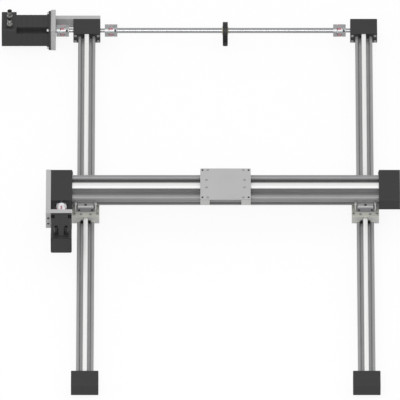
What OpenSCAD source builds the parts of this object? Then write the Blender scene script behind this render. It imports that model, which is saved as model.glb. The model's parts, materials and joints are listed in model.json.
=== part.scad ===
// Two-axis belt driven gantry: two lower axes with one shared drive shaft carry a cross axis.
// The origin lies midway between the two lower axes, halfway along them, on the plane that
// their end blocks stand on. X runs along the cross axis, Y along the lower axes, Z up.
// Every length is in millimetres.

/* [Layout] */
// Distance between the centre lines of the two lower axes
track = 800; // [700:10:1000]
// Free length of each lower rail between its end blocks
lower_span = 1364; // [1000:4:2000]
// Reach of the cross rail past the centre line of each lower axis, up to its end block
cross_overhang = 38.5; // [38:0.5:60]
// Height of the cross rail's underside above the mounting plane
cross_rail_z = 62.3; // [62:0.1:70]

/* [Lower axis] */
// Diameter of the lower rail's round beads
lower_bead_d = 10; // [8:0.5:11]
// Distance between the two beads of a lower rail
lower_bead_pitch = 40; // [38:1:44]
// Height of the lower beads' centres above the rail's underside
lower_bead_h = 19.5; // [19:0.5:21]
// Height of the lower rail's underside above the mounting plane
lower_rail_z = 1; // [0.5:0.1:1.5]
// Height of the lower rail's middle web above its underside
lower_web_h = 15.5; // [14.5:0.1:15.6]
// Width of the lower rail's middle web
lower_web_w = 28.6; // [26:0.1:29]
// Width of a lower end block
lower_block_w = 78; // [76:1:90]
// Length of a lower end block
lower_block_l = 61.5; // [58:0.5:70]
// Height of a lower end block
lower_block_h = 36; // [35.8:0.1:38]
// Width of the lower belts
lower_belt_w = 12.5; // [10:0.5:13]
// Teeth on each lower pulley
lower_teeth = 18; // [17:1:18]
// Height of the lower pulley shafts above the mounting plane
lower_shaft_z = 19; // [18.6:0.1:19.2]
// Spacing of the two mounting holes in the underside of each lower end block
foot_hole_pitch = 54; // [50:1:56]
// Diameter of those mounting holes, tapped M8
foot_hole_d = 6.8; // [5:0.1:7]
// Depth of those mounting holes
foot_hole_depth = 10; // [6:0.5:11]

/* [Cross axis] */
// Diameter of the cross rail's round beads
cross_bead_d = 16; // [14:0.5:17]
// Distance between the two beads of the cross rail
cross_bead_pitch = 80; // [78:1:82]
// Height of the cross beads' centres above the rail's underside
cross_bead_h = 26; // [25.5:0.5:27]
// Height of the cross rail's middle web above its underside
cross_web_h = 19.7; // [18.5:0.1:20]
// Width of the cross rail's middle web
cross_web_w = 62; // [58:1:64]
// Length of a cross end block along the axis
cross_block_l = 61; // [58:0.5:70]
// Width of a cross end block across the axis
cross_block_w = 123; // [121:1:140]
// Height of a cross end block
cross_block_h = 38.9; // [38.6:0.1:42]
// Width of the cross belt
cross_belt_w = 22; // [18:0.5:23]
// Teeth on each cross pulley
cross_teeth = 20; // [19:1:20]
// Height of the cross pulley shafts above the cross rail's underside
cross_shaft_h = 18.5; // [18:0.1:18.8]

/* [Belts and pulleys] */
// Tooth pitch of every belt
pitch = 5; // [5:1:5]
// Depth of the tooth spaces in the pulleys
tooth_h = 1.2; // [1:0.05:1.3]
// Thickness of a belt above its teeth
backing = 1.3; // [1:0.05:1.4]
// Distance from the pitch line in to the pulley's tooth tips
tip_drop = 0.6; // [0.5:0.05:0.7]
// Gap between a pulley's tooth tips and the belt that runs round it
belt_gap = 0.35; // [0.3:0.01:0.4]
// Thickness of a pulley's side flange
flange_t = 1.5; // [1:0.1:2]

/* [Shafts and bearings] */
// Diameter of the long drive shaft
drive_shaft_d = 15; // [12:0.5:16]
// Diameter of the shafts that carry the drive pulleys
pulley_shaft_d = 12; // [10:0.5:12]
// Diameter of the fixed axles that carry the idler pulleys
idler_axle_d = 10; // [8:0.5:10]
// Outer diameter of the pulley shaft bearings
bearing_d = 28; // [26:0.5:28]
// Width of the pulley shaft bearings
bearing_w = 8; // [6:0.5:9]
// Radial running clearance of every shaft and slide fit
run_fit = 0.05; // [0.02:0.01:0.08]

/* [Couplings] */
// Outer diameter of the couplings on the drive shaft
coupling_d = 36; // [32:0.5:37]
// Length of the couplings on the drive shaft
coupling_l = 36; // [34:0.5:37]
// Outer diameter of the cross axis's coupling
cross_coupling_d = 30; // [27:0.5:32]
// Free shaft length between a lower end block and its inner coupling
coupling_gap = 13; // [6:0.5:20]
// Part of a coupling's length taken by its jaws
jaw_share_l = 14; // [10:0.5:16]

/* [Carriages] */
// Length of a lower carriage along its rail
lower_carriage_l = 144; // [130:1:160]
// Width of a lower carriage
lower_carriage_w = 78; // [72:1:82]
// Underside of the lower carriage plate above the mounting plane
lower_plate_z = 40.3; // [40:0.1:42]
// Length of the tool carriage along the cross rail
tool_carriage_l = 144; // [130:1:200]
// Width of the tool carriage across the cross rail
tool_carriage_w = 123; // [121:1:140]
// Underside of the tool carriage plate above the cross rail's underside
tool_plate_h = 37.6; // [37:0.1:39]
// Thickness of every carriage plate
plate_t = 5; // [4:0.1:6]
// Length of each bearing housing along its rail
housing_l = 26.7; // [20:0.1:32]
// Wall of the plastic liners that slide on the beads
liner_wall = 1.6; // [1.2:0.1:2]
// Diameter of the tool mounting holes, tapped M6
tool_hole_d = 5; // [4:0.1:6]
// Spacing of the tool mounting holes along the cross rail
tool_hole_x = 132; // [126:1:134]
// Spacing of the tool mounting holes across the cross rail
tool_hole_y = 110; // [104:1:112]

/* [Drive shaft motor] */
// Side of the drive shaft motor's square flange
big_flange = 86; // [80:1:90]
// Thickness of that flange
big_flange_t = 6.3; // [5:0.1:10]
// Side of the drive shaft motor's square body
big_body = 77.5; // [70:0.5:79]
// Length of the drive shaft motor's body
big_body_l = 92.6; // [60:0.2:140]
// Depth of the notches along the body's four corners
big_notch = 13.7; // [12:0.1:15]
// Length of the motor's rear housing
big_rear_l = 43; // [36:0.5:60]
// Bolt circle side of the drive shaft motor's four screws
big_bolt_pitch = 69.6; // [66:0.1:70]
// Diameter of the drive shaft motor's shaft
big_motor_shaft_d = 14; // [10:0.5:15]

/* [Cross axis motor] */
// Side of the cross axis motor
small_body = 60; // [56:1:61]
// Length of the cross axis motor
small_body_l = 102; // [70:1:130]
// Bolt circle side of the cross axis motor's four screws
small_bolt_pitch = 47.1; // [45:0.1:48]
// Diameter of the cross axis motor's shaft
small_motor_shaft_d = 8; // [6:0.5:10]
// Thickness of every motor bracket plate
bracket_t = 14; // [10:0.5:16]
// Space between the cross drive block and the motor's flange plate
small_motor_gap = 49; // [44:0.5:60]

/* [Pedestal bearing] */
// Thickness of the pedestal bearing in the middle of the drive shaft
pedestal_t = 14.6; // [12:0.2:20]
// Length of its foot
pedestal_foot = 91; // [80:1:110]
// Radius of its round housing
pedestal_r = 24.6; // [20:0.2:28]
// Height of its foot
pedestal_foot_h = 9; // [6:0.5:12]
// Spacing of its two mounting holes
pedestal_hole_pitch = 74; // [60:1:76]
// Diameter of its mounting holes
pedestal_hole_d = 6.6; // [4:0.2:8]

/* [Hidden] */
$fn = 48;

black = "#434343";
alu = "#b4b5b6";
steel = "#9a9c9e";
white = "#f0f0ee";
red = "#c0606a";
housing_grey = "#b2b3b0";

// ---------------------------------------------------------------- derived sizes

function pitch_r(teeth) = teeth * pitch / (2 * PI);
function tip_r(teeth) = pitch_r(teeth) - tip_drop;
function belt_in_r(teeth) = tip_r(teeth) + belt_gap;
function belt_out_r(teeth) = belt_in_r(teeth) + backing;

// Width of each rail's foot beyond its bead centres
lower_foot_margin = 2;
cross_foot_margin = 4;

axis_x = track / 2;
lower_end = lower_span / 2;
lower_pulley_y = lower_end + lower_block_l / 2;
lower_bead_z = lower_rail_z + lower_bead_h;
lower_base_w = lower_bead_pitch + 2 * lower_foot_margin;
lower_neck_w = lower_bead_d / 2;

cross_end = track / 2 + cross_overhang;
cross_pulley_x = cross_end + cross_block_l / 2;
cross_outer = cross_end + cross_block_l;
cross_shaft_z = cross_rail_z + cross_shaft_h;
cross_block_z = cross_shaft_z - cross_block_h / 2;
cross_bead_z = cross_rail_z + cross_bead_h;
cross_base_w = cross_bead_pitch + 2 * cross_foot_margin;
cross_neck_w = cross_bead_d / 2;

// Height of the valleys beside a rail's web above its underside
lower_valley_h = 11;
cross_valley_h = 14;
// Flank grooves of each rail: height above the underside, height and depth
lower_groove_y = 3.5;
lower_groove_h = 4;
lower_groove_d = 4;
cross_flange_h = 5;
cross_groove_h = 6;
cross_groove_d = 8;
// Walls round the hollow chambers of each rail
lower_wall = 2.2;
cross_wall = 3;
// Room on each side and above a belt's return strand in its channel
channel_margin = 2;
// Shallow grooves in the cross rail's web
web_groove_x = 16.2;
web_groove_w = 8.5;
web_groove_d = 3.2;

// Corner screws in the inner faces of the end blocks: distance from the lower blocks' side
// faces, heights, sink and shank length. Those of the cross blocks stand in the middle of
// the wall beside the rail's bead, and are as thick as it allows.
lower_screw_inset = 6;
block_screw_x = lower_block_w / 2 - lower_screw_inset;
block_screw_z = [6, 27.5];
block_screw_sink = 4;
block_screw_l = 12;
cross_wall_y = (cross_block_w - cross_bead_pitch - cross_bead_d) / 2;
cross_screw_y = (cross_block_w - cross_wall_y) / 2;
cross_screw_d = cross_wall_y / 2.25;
cross_screw_z = [-12, 12];

// Couplings on the drive shaft line: motor, left inner and right inner
coupling_xs = [
  -axis_x - lower_block_w / 2 - coupling_gap - coupling_l / 2,
  -axis_x + lower_block_w / 2 + coupling_gap + coupling_l / 2,
  axis_x - lower_block_w / 2 - coupling_gap - coupling_l / 2
];
coupling_bores = [
  [big_motor_shaft_d, pulley_shaft_d],
  [pulley_shaft_d, drive_shaft_d],
  [drive_shaft_d, pulley_shaft_d]
];
// Distance from a coupling's middle to the ends of the shafts in it
shaft_end_gap = 8;
// Angular size of a coupling jaw; the spider's legs fill what lies between the jaws
jaw_angle = 40;

// Wall of the pedestal's plastic bush
bush_wall = 2.5;
// Gap between the motor bracket and its coupling, and the motor's mounting face
big_face_gap = 2;
big_face_x = coupling_xs[0] - coupling_l / 2 - big_face_gap - bracket_t;
big_pilot_d = 60;
big_corner_r = 10;
// Depth of the pilot spigots and of the shaft bores in the motors' bodies
spigot_h = 2;
shaft_socket = 4;
// Connectors: distance from the motor's rear end, half their spacing, diameter, height
// and the seat that they stand on
connector_inset = 23;
big_connector_x = 16.7;
connector_d = 12;
big_connector_h = 22;
connector_seat_h = 2.5;
// Plate that ties the drive shaft motor's bracket to the rear of the left drive block
arm_y = lower_pulley_y + lower_block_l / 2 + bracket_t / 2;
arm_screw_z = [9, 27];

// Cross axis motor and its coupling, which lie in front of the left end block
small_face_y = -cross_block_w / 2 - small_motor_gap - bracket_t;
small_front_t = 7;
small_pilot_d = 38;
// Distance of its connectors from its rear end
small_connector_inset = 19;
small_connector_x = 14;
small_connector_h = 25;
small_corner_r = 5;
cross_coupling_l = 36;
cross_coupling_gap = 7;
cross_coupling_y = -cross_block_w / 2 - cross_coupling_gap - cross_coupling_l / 2;
// How far the cross bearings are sunk into their block, and the recess in front of them
cross_bearing_sink = 3;
cross_recess_d = 38;
// Screws from the flange plate into the side plate, from the shaft's height
flange_screw_z = [-13.5, 8.5];
flange_screw_l = 24;
side_screw_y = [-45, 45];

// Gap between a housing and the top of its rail's web
slide_clear = 0.5;
// Height over which a housing's outer leg reaches down past that cut
lower_leg = 0.8;
tool_leg = 2.8;
// Relief beside the belt in a housing: gap to the belt, reach and height over the bead
lower_relief = [1.2, 12, 8.5];
tool_relief = [0.4, 28, 4.5];
// Reach of the liners past their housings
liner_reach = 0.5;

// Lower carriages: bearing housings, belt clamps and screws
lower_plate_top = lower_plate_z + plate_t;
lower_cut_z = lower_rail_z + lower_web_h + slide_clear;
lower_liner_r = lower_bead_d / 2 + run_fit + liner_wall;
lower_housing_y = (lower_carriage_l - housing_l) / 2;
plate_corner_r = 1.5;
lower_screws = [[13.5, lower_carriage_l / 2 - 8], [33, lower_carriage_l / 2 - 11]];
clamp_screws = [[10, 18]];
adapter_screws = [[17, 37]];
low_head = 3.5;
lower_screw_l = 11;
clamp_screw_l = 9;
lower_clamp = [27, 48];
// Material under the strand in a belt clamp
clamp_floor = 2.5;
// Gap between a carriage's fixed pieces and the belt
belt_clear = 0.5;

// Adapter blocks between the lower carriages and the cross rail
adapter_w = 46;
adapter_l = 112;
adapter_hole_x = 18.5;
adapter_hole_d = 6;
adapter_hole_l = 14;
// Passage through an adapter, as shares of its length and height
adapter_gap_l = 0.54;
adapter_gap_h = 0.55;
clamp_w = 45;
clamp_rise = 6.7;
clamp_top = cross_rail_z + clamp_rise;
clamp_bolt_l = 16;
clamp_lip = 5.5;
clamp_screw_y = (cross_base_w / 2 + adapter_l / 2) / 2;
stud_x = 28;
stud_gap = 6.5;
stud_y = cross_base_w / 2 + stud_gap;
stud_d = 5.5;
stud_cap_d = 7.5;
stud_cap_h = 5;
stud_rise = 15.5;
stud_top = cross_rail_z + stud_rise;
stud_sink = 1.5;

// Tool carriage
tool_plate_z = cross_rail_z + tool_plate_h;
tool_plate_top = tool_plate_z + plate_t;
tool_cut_z = cross_rail_z + cross_web_h + slide_clear;
tool_liner_r = cross_bead_d / 2 + run_fit + liner_wall;
tool_housing_x = (tool_carriage_l - housing_l) / 2;
tool_screws_at = [[54.3, 15], [51, 55.3]];
tool_screw_l = 12;
// Belt clamp: its screws go up from under it, into blind holes in the plate
tool_clamp = [42, 48];
tool_clamp_screws = [[18, 16]];
tool_clamp_h = tool_plate_z - cross_shaft_z - belt_out_r(cross_teeth) + backing + tooth_h
  + clamp_floor;
plate_skin = 1;
tool_clamp_screw_l = tool_clamp_h - low_head + plate_t - plate_skin;
// Depth of the tool holes below the plate, in the housings
tool_hole_depth = 8;

// Chamfer of the end blocks' edges
block_chamfer = 1;
// Distance of the idler axles' ends from the side faces of their blocks
axle_inset = 2;
// Gap round a turning shaft where it passes through a wall
shaft_clear = 1;
// Distance of a pulley shaft's free end from the outer face of its block
shaft_inset = 1;
// Depth of the seats that take the rail ends inside the end blocks
seat_depth = 8;
// Slack of every seat and socket around the piece it takes
seat_gap = 0.1;
// Gap on each side of a belt between its pulley's flanges
belt_side_gap = 0.5;
// Gap between a pulley pocket's walls and what turns or runs in it
pocket_gap = 0.6;
// Thread diameters of the two cap screw sizes
m5 = 5;
m6 = 6;
// Depth to which a shank reaches past the last face it enters
thread_l = 12;
// Overrun of every cutting tool past the faces it cuts
over = 1;

function pulley_w(belt_w) = belt_w + 2 * (belt_side_gap + flange_t);
function pocket_w(belt_w) = pulley_w(belt_w) + 2 * pocket_gap;
function pocket_r(teeth) = belt_out_r(teeth) + pocket_gap;
// Height of the channel for a belt's return strand in the underside of a rail
function channel_h(shaft_h, teeth) = shaft_h - belt_in_r(teeth) + tooth_h + channel_margin;

// ---------------------------------------------------------------- shared shapes

module round_rect(w, l, r) {
  square([w - 2 * r, l], center = true);
  square([w, l - 2 * r], center = true);
  for (sx = [-1, 1], sy = [-1, 1])
    translate([sx * (w / 2 - r), sy * (l / 2 - r)]) circle(r);
}

module chamfer_rect(w, l, c) {
  polygon([
    [-w / 2 + c, -l / 2], [w / 2 - c, -l / 2], [w / 2, -l / 2 + c], [w / 2, l / 2 - c],
    [w / 2 - c, l / 2], [-w / 2 + c, l / 2], [-w / 2, l / 2 - c], [-w / 2, -l / 2 + c]
  ]);
}

// Box from x = 0 to x = l with every long edge chamfered, centred on y and z
module chamfer_box(l, w, h, c) {
  intersection() {
    rotate([90, 0, 90]) linear_extrude(l) chamfer_rect(w, h, c);
    translate([l / 2, 0, -h / 2]) linear_extrude(h) chamfer_rect(l, w, c);
  }
}

// Socket head cap screw: it seats at z = 0, with its head above and its shank below
module cap_screw(d, l, head_h = 0) {
  h = head_h > 0 ? head_h : d;
  difference() {
    union() {
      cylinder(d = 1.6 * d, h = h);
      translate([0, 0, -l]) cylinder(d = d, h = l);
    }
    translate([0, 0, 0.45 * h]) cylinder(d = 0.95 * d, h = d, $fn = 6);
  }
}

// Hole for such a screw, with a counterbore that starts at its seat
module screw_hole(d, l, sink = 0) {
  translate([0, 0, -l]) cylinder(d = d, h = l + 1);
  if (sink > 0) cylinder(d = 1.6 * d + 2 * seat_gap, h = sink + 1);
}

module tube(r_out, r_in, l) {
  difference() {
    cylinder(r = r_out, h = l, center = true);
    cylinder(r = r_in, h = l + 1, center = true);
  }
}

// Sealed ball bearing: a ring with a shield sunk into each face
module ball_bearing(d_out, r_in, w) {
  ring = 2.2;
  sunk = 0.6;
  rotate_extrude() polygon([
    [r_in, -w / 2], [r_in + ring, -w / 2], [r_in + ring, -w / 2 + sunk],
    [d_out / 2 - ring, -w / 2 + sunk], [d_out / 2 - ring, -w / 2], [d_out / 2, -w / 2],
    [d_out / 2, w / 2], [d_out / 2 - ring, w / 2], [d_out / 2 - ring, w / 2 - sunk],
    [r_in + ring, w / 2 - sunk], [r_in + ring, w / 2], [r_in, w / 2]
  ]);
}

module along_x() rotate([90, 0, 90]) children();
module along_y() rotate([90, 0, 0]) children();

// ---------------------------------------------------------------- rails

// Section of a double bead rail, standing on y = 0. With grow over 0 it is the filled
// outline of the seat that takes the rail.
module rail_section(bead_d, bead_pitch, bead_h, base_w, web_w, web_h, valley_h, neck_w,
                    channel_w, channel_h, groove_d, groove_y, groove_h, wall, grow = 0) {
  chamber_x = channel_w / 2 + wall;
  chamber_w = base_w / 2 - groove_d - wall - chamber_x;
  difference() {
    union() {
      translate([-base_w / 2 - grow, -grow])
        square([base_w + 2 * grow, valley_h + 2 * grow]);
      translate([-web_w / 2 - grow, 0]) square([web_w + 2 * grow, web_h + grow]);
      for (side = [-1, 1]) translate([side * bead_pitch / 2, 0]) {
        translate([-neck_w / 2 - grow, 0]) square([neck_w + 2 * grow, bead_h]);
        translate([0, bead_h]) circle(d = bead_d + 2 * grow);
      }
    }
    if (grow == 0) {
      translate([-channel_w / 2, -1]) square([channel_w, channel_h + 1]);
      for (side = [-1, 1]) mirror([side < 0 ? 1 : 0, 0]) {
        translate([base_w / 2 - groove_d, groove_y]) square([groove_d + 1, groove_h]);
        translate([chamber_x, wall]) square([chamber_w, valley_h - 2 * wall]);
      }
    }
  }
}

module lower_rail_section(grow = 0) {
  rail_section(lower_bead_d, lower_bead_pitch, lower_bead_h, lower_base_w, lower_web_w,
               lower_web_h, lower_valley_h, lower_neck_w,
               lower_belt_w + 2 * channel_margin,
               channel_h(lower_shaft_z - lower_rail_z, lower_teeth),
               lower_groove_d, lower_groove_y, lower_groove_h, lower_wall, grow);
}

module cross_rail_section(grow = 0) {
  difference() {
    rail_section(cross_bead_d, cross_bead_pitch, cross_bead_h, cross_base_w, cross_web_w,
                 cross_web_h, cross_valley_h, cross_neck_w,
                 cross_belt_w + 2 * channel_margin,
                 channel_h(cross_shaft_h, cross_teeth),
                 cross_groove_d, cross_flange_h, cross_groove_h, cross_wall, grow);
    if (grow == 0)
      for (side = [-1, 1])
        translate([side * web_groove_x - web_groove_w / 2, cross_web_h - web_groove_d])
          square([web_groove_w, web_groove_d + 1]);
  }
}

module lower_rail() {
  color(alu) translate([0, 0, lower_rail_z]) along_y()
    linear_extrude(lower_span + 2 * seat_depth, center = true) lower_rail_section();
}

module cross_rail() {
  color(alu) translate([0, 0, cross_rail_z]) along_x()
    linear_extrude(2 * (cross_end + seat_depth), center = true) cross_rail_section();
}

// ---------------------------------------------------------------- belts and pulleys

// Outline of an endless belt's space or body: a strip of half height r with round ends
module stadium(half_span, r) {
  square([2 * half_span, 2 * r], center = true);
  for (side = [-1, 1]) translate([side * half_span, 0]) circle(r);
}

// Endless belt in the XY plane round two pulleys at x = -half_span and x = half_span. It is
// drawn down to its pitch line; its teeth would foul pulleys that turn while it stands still.
module belt(teeth, half_span, w) {
  linear_extrude(w, center = true) difference() {
    stadium(half_span, belt_out_r(teeth));
    stadium(half_span, belt_in_r(teeth));
  }
}

// Tooth space of a pulley: shares of a tooth pitch, and depths
groove_profile = [[-0.3, 0], [-0.2, tooth_h], [0.2, tooth_h], [0.3, 0]];
// Height of a pulley's flanges over its teeth
flange_rise = 1.4;

// Toothed pulley with two flanges, its axis along z
module pulley(teeth, belt_w, bore_r) {
  r_tip = tip_r(teeth);
  step = 360 / teeth;
  toothed_w = belt_w + 2 * belt_side_gap;
  difference() {
    union() {
      linear_extrude(toothed_w + flange_t, center = true) polygon([
        for (i = [0 : teeth - 1], p = groove_profile)
          (r_tip - p[1]) * [cos((i + p[0]) * step), sin((i + p[0]) * step)]
      ]);
      for (side = [-1, 1])
        translate([0, 0, side * (toothed_w + flange_t) / 2])
          cylinder(r = r_tip + flange_rise, h = flange_t, center = true);
    }
    cylinder(r = bore_r, h = belt_w * 2, center = true);
  }
}

// ---------------------------------------------------------------- lower axes

// End block of a lower axis, with its inner face on y = 0 and its body towards +y
module lower_block(shaft_d, seated) {
  mid = lower_block_l / 2;
  color(black) difference() {
    rotate([0, 0, 90]) translate([0, 0, lower_block_h / 2])
      chamfer_box(lower_block_l, lower_block_w, lower_block_h, block_chamfer);
    translate([0, seat_depth + seat_gap, lower_rail_z]) along_y()
      linear_extrude(seat_depth + 2 * over) lower_rail_section(grow = seat_gap);
    translate([0, mid / 2 - over, lower_shaft_z])
      cube([pocket_w(lower_belt_w), mid + 2 * over, 2 * pocket_r(lower_teeth)], center = true);
    translate([0, mid, lower_shaft_z]) along_x() {
      cylinder(r = pocket_r(lower_teeth), h = pocket_w(lower_belt_w), center = true);
      if (seated) {
        cylinder(d = shaft_d + 2 * shaft_clear, h = lower_block_w + 2 * over, center = true);
        for (side = [-1, 1])
          translate([0, 0, side * (lower_block_w - bearing_w) / 2])
            cylinder(d = bearing_d, h = bearing_w, center = true);
      } else
        cylinder(d = shaft_d, h = lower_block_w - 2 * axle_inset, center = true);
    }
    for (side = [-1, 1]) {
      translate([side * foot_hole_pitch / 2, mid, -over])
        cylinder(d = foot_hole_d, h = foot_hole_depth + over);
      for (z = block_screw_z)
        translate([side * block_screw_x, block_screw_sink, z]) rotate([90, 0, 0])
          screw_hole(m5, block_screw_l, block_screw_sink);
    }
  }
}

module lower_block_at(x, end) {
  translate([x, 0, 0]) mirror([0, end < 0 ? 1 : 0, 0]) translate([0, lower_end, 0])
    lower_block(end < 0 ? idler_axle_d : pulley_shaft_d, end > 0);
}

module lower_belt() {
  color(white) translate([0, 0, lower_shaft_z]) rotate([90, 0, 90])
    belt(lower_teeth, lower_pulley_y, lower_belt_w);
}

module drive_bearings() {
  color(steel)
    for (x = [-axis_x, axis_x], side = [-1, 1])
      translate([x + side * (lower_block_w - bearing_w) / 2, lower_pulley_y, lower_shaft_z])
        along_x() ball_bearing(bearing_d, pulley_shaft_d / 2 + run_fit, bearing_w);
}

module idler_axles() {
  color(steel)
    for (x = [-axis_x, axis_x])
      translate([x, -lower_pulley_y, lower_shaft_z]) along_x()
        cylinder(d = idler_axle_d, h = lower_block_w - 2 * axle_inset, center = true);
}

module block_screws() {
  color(steel)
    for (x = [-axis_x, axis_x], end = [0, 1], side = [-1, 1], z = block_screw_z)
      translate([x + side * block_screw_x, 0, z]) mirror([0, end, 0])
        translate([0, lower_end + block_screw_sink, 0]) rotate([90, 0, 0])
          cap_screw(m5, block_screw_l);
}

// ---------------------------------------------------------------- drive shaft

// Shares of a coupling's diameter: opening between the jaws, hole in the spider, distance
// of the clamp screw from the axis, its seat from the middle, its thread and its length
jaw_bore_share = 0.42;
spider_bore_share = 0.2;
clamp_at_share = 0.32;
clamp_seat_share = 1 / 6;
clamp_d_share = 1 / 9;
clamp_l_share = 0.28;
// End gap of a jaw, sideways gap of the spider, and width of a hub's clamping slit
jaw_end_gap = 1.5;
slit_w = 1.2;

function boss_l(l) = (l - jaw_share_l) / 2;

module wedge(d, a) {
  polygon([[0, 0], d * [cos(a / 2), -sin(a / 2)], d * [1.2, 0], d * [cos(a / 2), sin(a / 2)]]);
}

// Places children at the seat of a hub's clamp screw, square to its slit
module at_hub_screw(d, l) {
  translate([d * clamp_at_share, -d * clamp_seat_share, boss_l(l) / 2]) rotate([90, 0, 0])
    children();
}

// Jaw coupling hub: slit and bored boss with three jaws towards +z, its outer face on z = 0
module coupling_hub(d, l, bore_d) {
  boss = boss_l(l);
  difference() {
    union() {
      cylinder(d = d, h = boss);
      intersection() {
        tube_on(d / 2, d * jaw_bore_share / 2, boss, jaw_share_l - jaw_end_gap);
        for (a = [60 : 120 : 300]) rotate(a) linear_extrude(l) wedge(d, jaw_angle);
      }
    }
    translate([0, 0, -over]) cylinder(d = bore_d, h = l);
    translate([0, -slit_w / 2, -over]) cube([d, slit_w, boss + over]);
    at_hub_screw(d, l) screw_hole(d * clamp_d_share, d * clamp_l_share + over, d / 2);
  }
}

// Tube that stands on z, let into what is below it
module tube_on(r_out, r_in, z, h) {
  let_in = 0.01;
  translate([0, 0, z - let_in]) difference() {
    cylinder(r = r_out, h = h);
    translate([0, 0, -over]) cylinder(r = r_in, h = h + 2 * over);
  }
}

// Elastic spider of a jaw coupling, centred on z = 0: a bored hub with six legs
module coupling_spider(d) {
  linear_extrude(jaw_share_l - 2 * jaw_end_gap, center = true) difference() {
    union() {
      circle(d = d * jaw_bore_share);
      intersection() {
        circle(d = d);
        for (a = [30 : 60 : 330]) rotate(a) wedge(d, 60 - jaw_angle);
      }
    }
    circle(d = d * spider_bore_share);
  }
}

// The two halves of a coupling, each child 0 or 1 in its hub's own frame
module coupling_halves(l) {
  translate([0, 0, -l / 2]) children(0);
  rotate([180, 0, 0]) rotate(180) translate([0, 0, -l / 2]) children(1);
}

module hub_screw(d, l) {
  at_hub_screw(d, l) cap_screw(d * clamp_d_share, d * clamp_l_share);
}

module shaft_couplings() {
  for (x = coupling_xs)
    translate([x, lower_pulley_y, lower_shaft_z]) rotate([0, 90, 0]) children();
}

module coupling_hubs() {
  color(steel) for (i = [0 : 2])
    translate([coupling_xs[i], lower_pulley_y, lower_shaft_z]) rotate([0, 90, 0])
      coupling_halves(coupling_l) {
        coupling_hub(coupling_d, coupling_l, coupling_bores[i][0]);
        coupling_hub(coupling_d, coupling_l, coupling_bores[i][1]);
      }
}

module coupling_spiders() {
  color(red) shaft_couplings() coupling_spider(coupling_d);
}

module coupling_screws() {
  color(steel) shaft_couplings() coupling_halves(coupling_l) {
    hub_screw(coupling_d, coupling_l);
    hub_screw(coupling_d, coupling_l);
  }
}

module shaft_between(x0, x1, d) {
  translate([x0, lower_pulley_y, lower_shaft_z]) rotate([0, 90, 0])
    cylinder(d = d, h = x1 - x0);
}

module drive_shaft() {
  color(steel) shaft_between(coupling_xs[1] + shaft_end_gap, coupling_xs[2] - shaft_end_gap,
                             drive_shaft_d);
}

module pulley_shafts() {
  color(steel) {
    shaft_between(coupling_xs[0] + shaft_end_gap, coupling_xs[1] - shaft_end_gap,
                  pulley_shaft_d);
    shaft_between(coupling_xs[2] + shaft_end_gap, axis_x + lower_block_w / 2 - shaft_inset,
                  pulley_shaft_d);
  }
}

module drive_motor_shaft() {
  color(steel) shaft_between(big_face_x + 1, coupling_xs[0] - shaft_end_gap,
                             big_motor_shaft_d);
}

module drive_pulleys() {
  color(steel) for (x = [-axis_x, axis_x])
    translate([x, lower_pulley_y, lower_shaft_z]) along_x()
      pulley(lower_teeth, lower_belt_w, pulley_shaft_d / 2);
}

module lower_idler_pulley(x) {
  color(steel) translate([x, -lower_pulley_y, lower_shaft_z]) along_x()
    pulley(lower_teeth, lower_belt_w, idler_axle_d / 2 + run_fit);
}

// ---------------------------------------------------------------- pedestal bearing

// Shoulders of the pedestal: where they leave the round housing, as shares of its radius,
// and how far from it they meet the foot
shoulder_at = [0.8, 0.6];
shoulder_gap = 2;
// Rounding of the foot's corners, seen from above
foot_corner_r = 4.5;
// Reach of the bush past the pedestal on each side, and the width of its rim
bush_reach = 1.5;
bush_rim = 2.5;

module pedestal_bearing() {
  foot = pedestal_foot / 2;
  foot_top = pedestal_foot_h - lower_shaft_z;
  right = [
    [foot, -lower_shaft_z], [foot, foot_top], [pedestal_r + shoulder_gap, foot_top],
    pedestal_r * shoulder_at
  ];
  color(black) translate([0, lower_pulley_y, 0]) difference() {
    intersection() {
      translate([0, 0, lower_shaft_z]) along_x() linear_extrude(pedestal_t, center = true)
        difference() {
          union() {
            circle(pedestal_r);
            polygon(concat(right, [for (i = [3 : -1 : 0]) [-right[i][0], right[i][1]]]));
          }
          translate([-2 * foot, -2 * foot - lower_shaft_z]) square([4 * foot, 2 * foot]);
          circle(d = drive_shaft_d + 2 * bush_wall);
        }
      linear_extrude(2 * (lower_shaft_z + pedestal_r))
        round_rect(pedestal_t, pedestal_foot, foot_corner_r);
    }
    for (side = [-1, 1]) translate([0, side * pedestal_hole_pitch / 2, -over])
      cylinder(d = pedestal_hole_d, h = pedestal_foot_h + 2 * over);
  }
}

module pedestal_bush() {
  r_in = drive_shaft_d / 2 + run_fit;
  r_out = drive_shaft_d / 2 + bush_wall;
  color("#d8cf9a") translate([0, lower_pulley_y, lower_shaft_z]) along_x() {
    tube(r_out, r_in, pedestal_t + 2 * bush_reach);
    translate([0, 0, -pedestal_t / 2 - bush_reach / 2]) tube(r_out + bush_rim, r_in, bush_reach);
  }
}

// ---------------------------------------------------------------- drive shaft motor

// Places children on the motor's axis with z towards the coupling, at its mounting face
module at_big_face() {
  translate([big_face_x, lower_pulley_y, lower_shaft_z]) rotate([90, 0, 90]) children();
}

// Size of the motor bracket's front plate over the motor's body, and its inset in y
big_plate_rise = 2.5;
big_plate_inset = 2;
// Gap between the tie plate and the mounting plane, and below the block's top
arm_foot_gap = 1;
arm_top_gap = 0.5;
arm_screw_l = 24;

// Places children on the motor's four bolt axes, z towards the coupling
module at_big_bolts() {
  at_big_face() for (sx = [-1, 1], sy = [-1, 1])
    translate([sx * big_bolt_pitch / 2, sy * big_bolt_pitch / 2, 0]) children();
}

// Places children at the seats of the screws from the front plate into the tie plate
module at_arm_screws() {
  for (z = arm_screw_z)
    translate([big_face_x + m5, arm_y, z]) rotate([0, -90, 0]) children();
}

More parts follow.
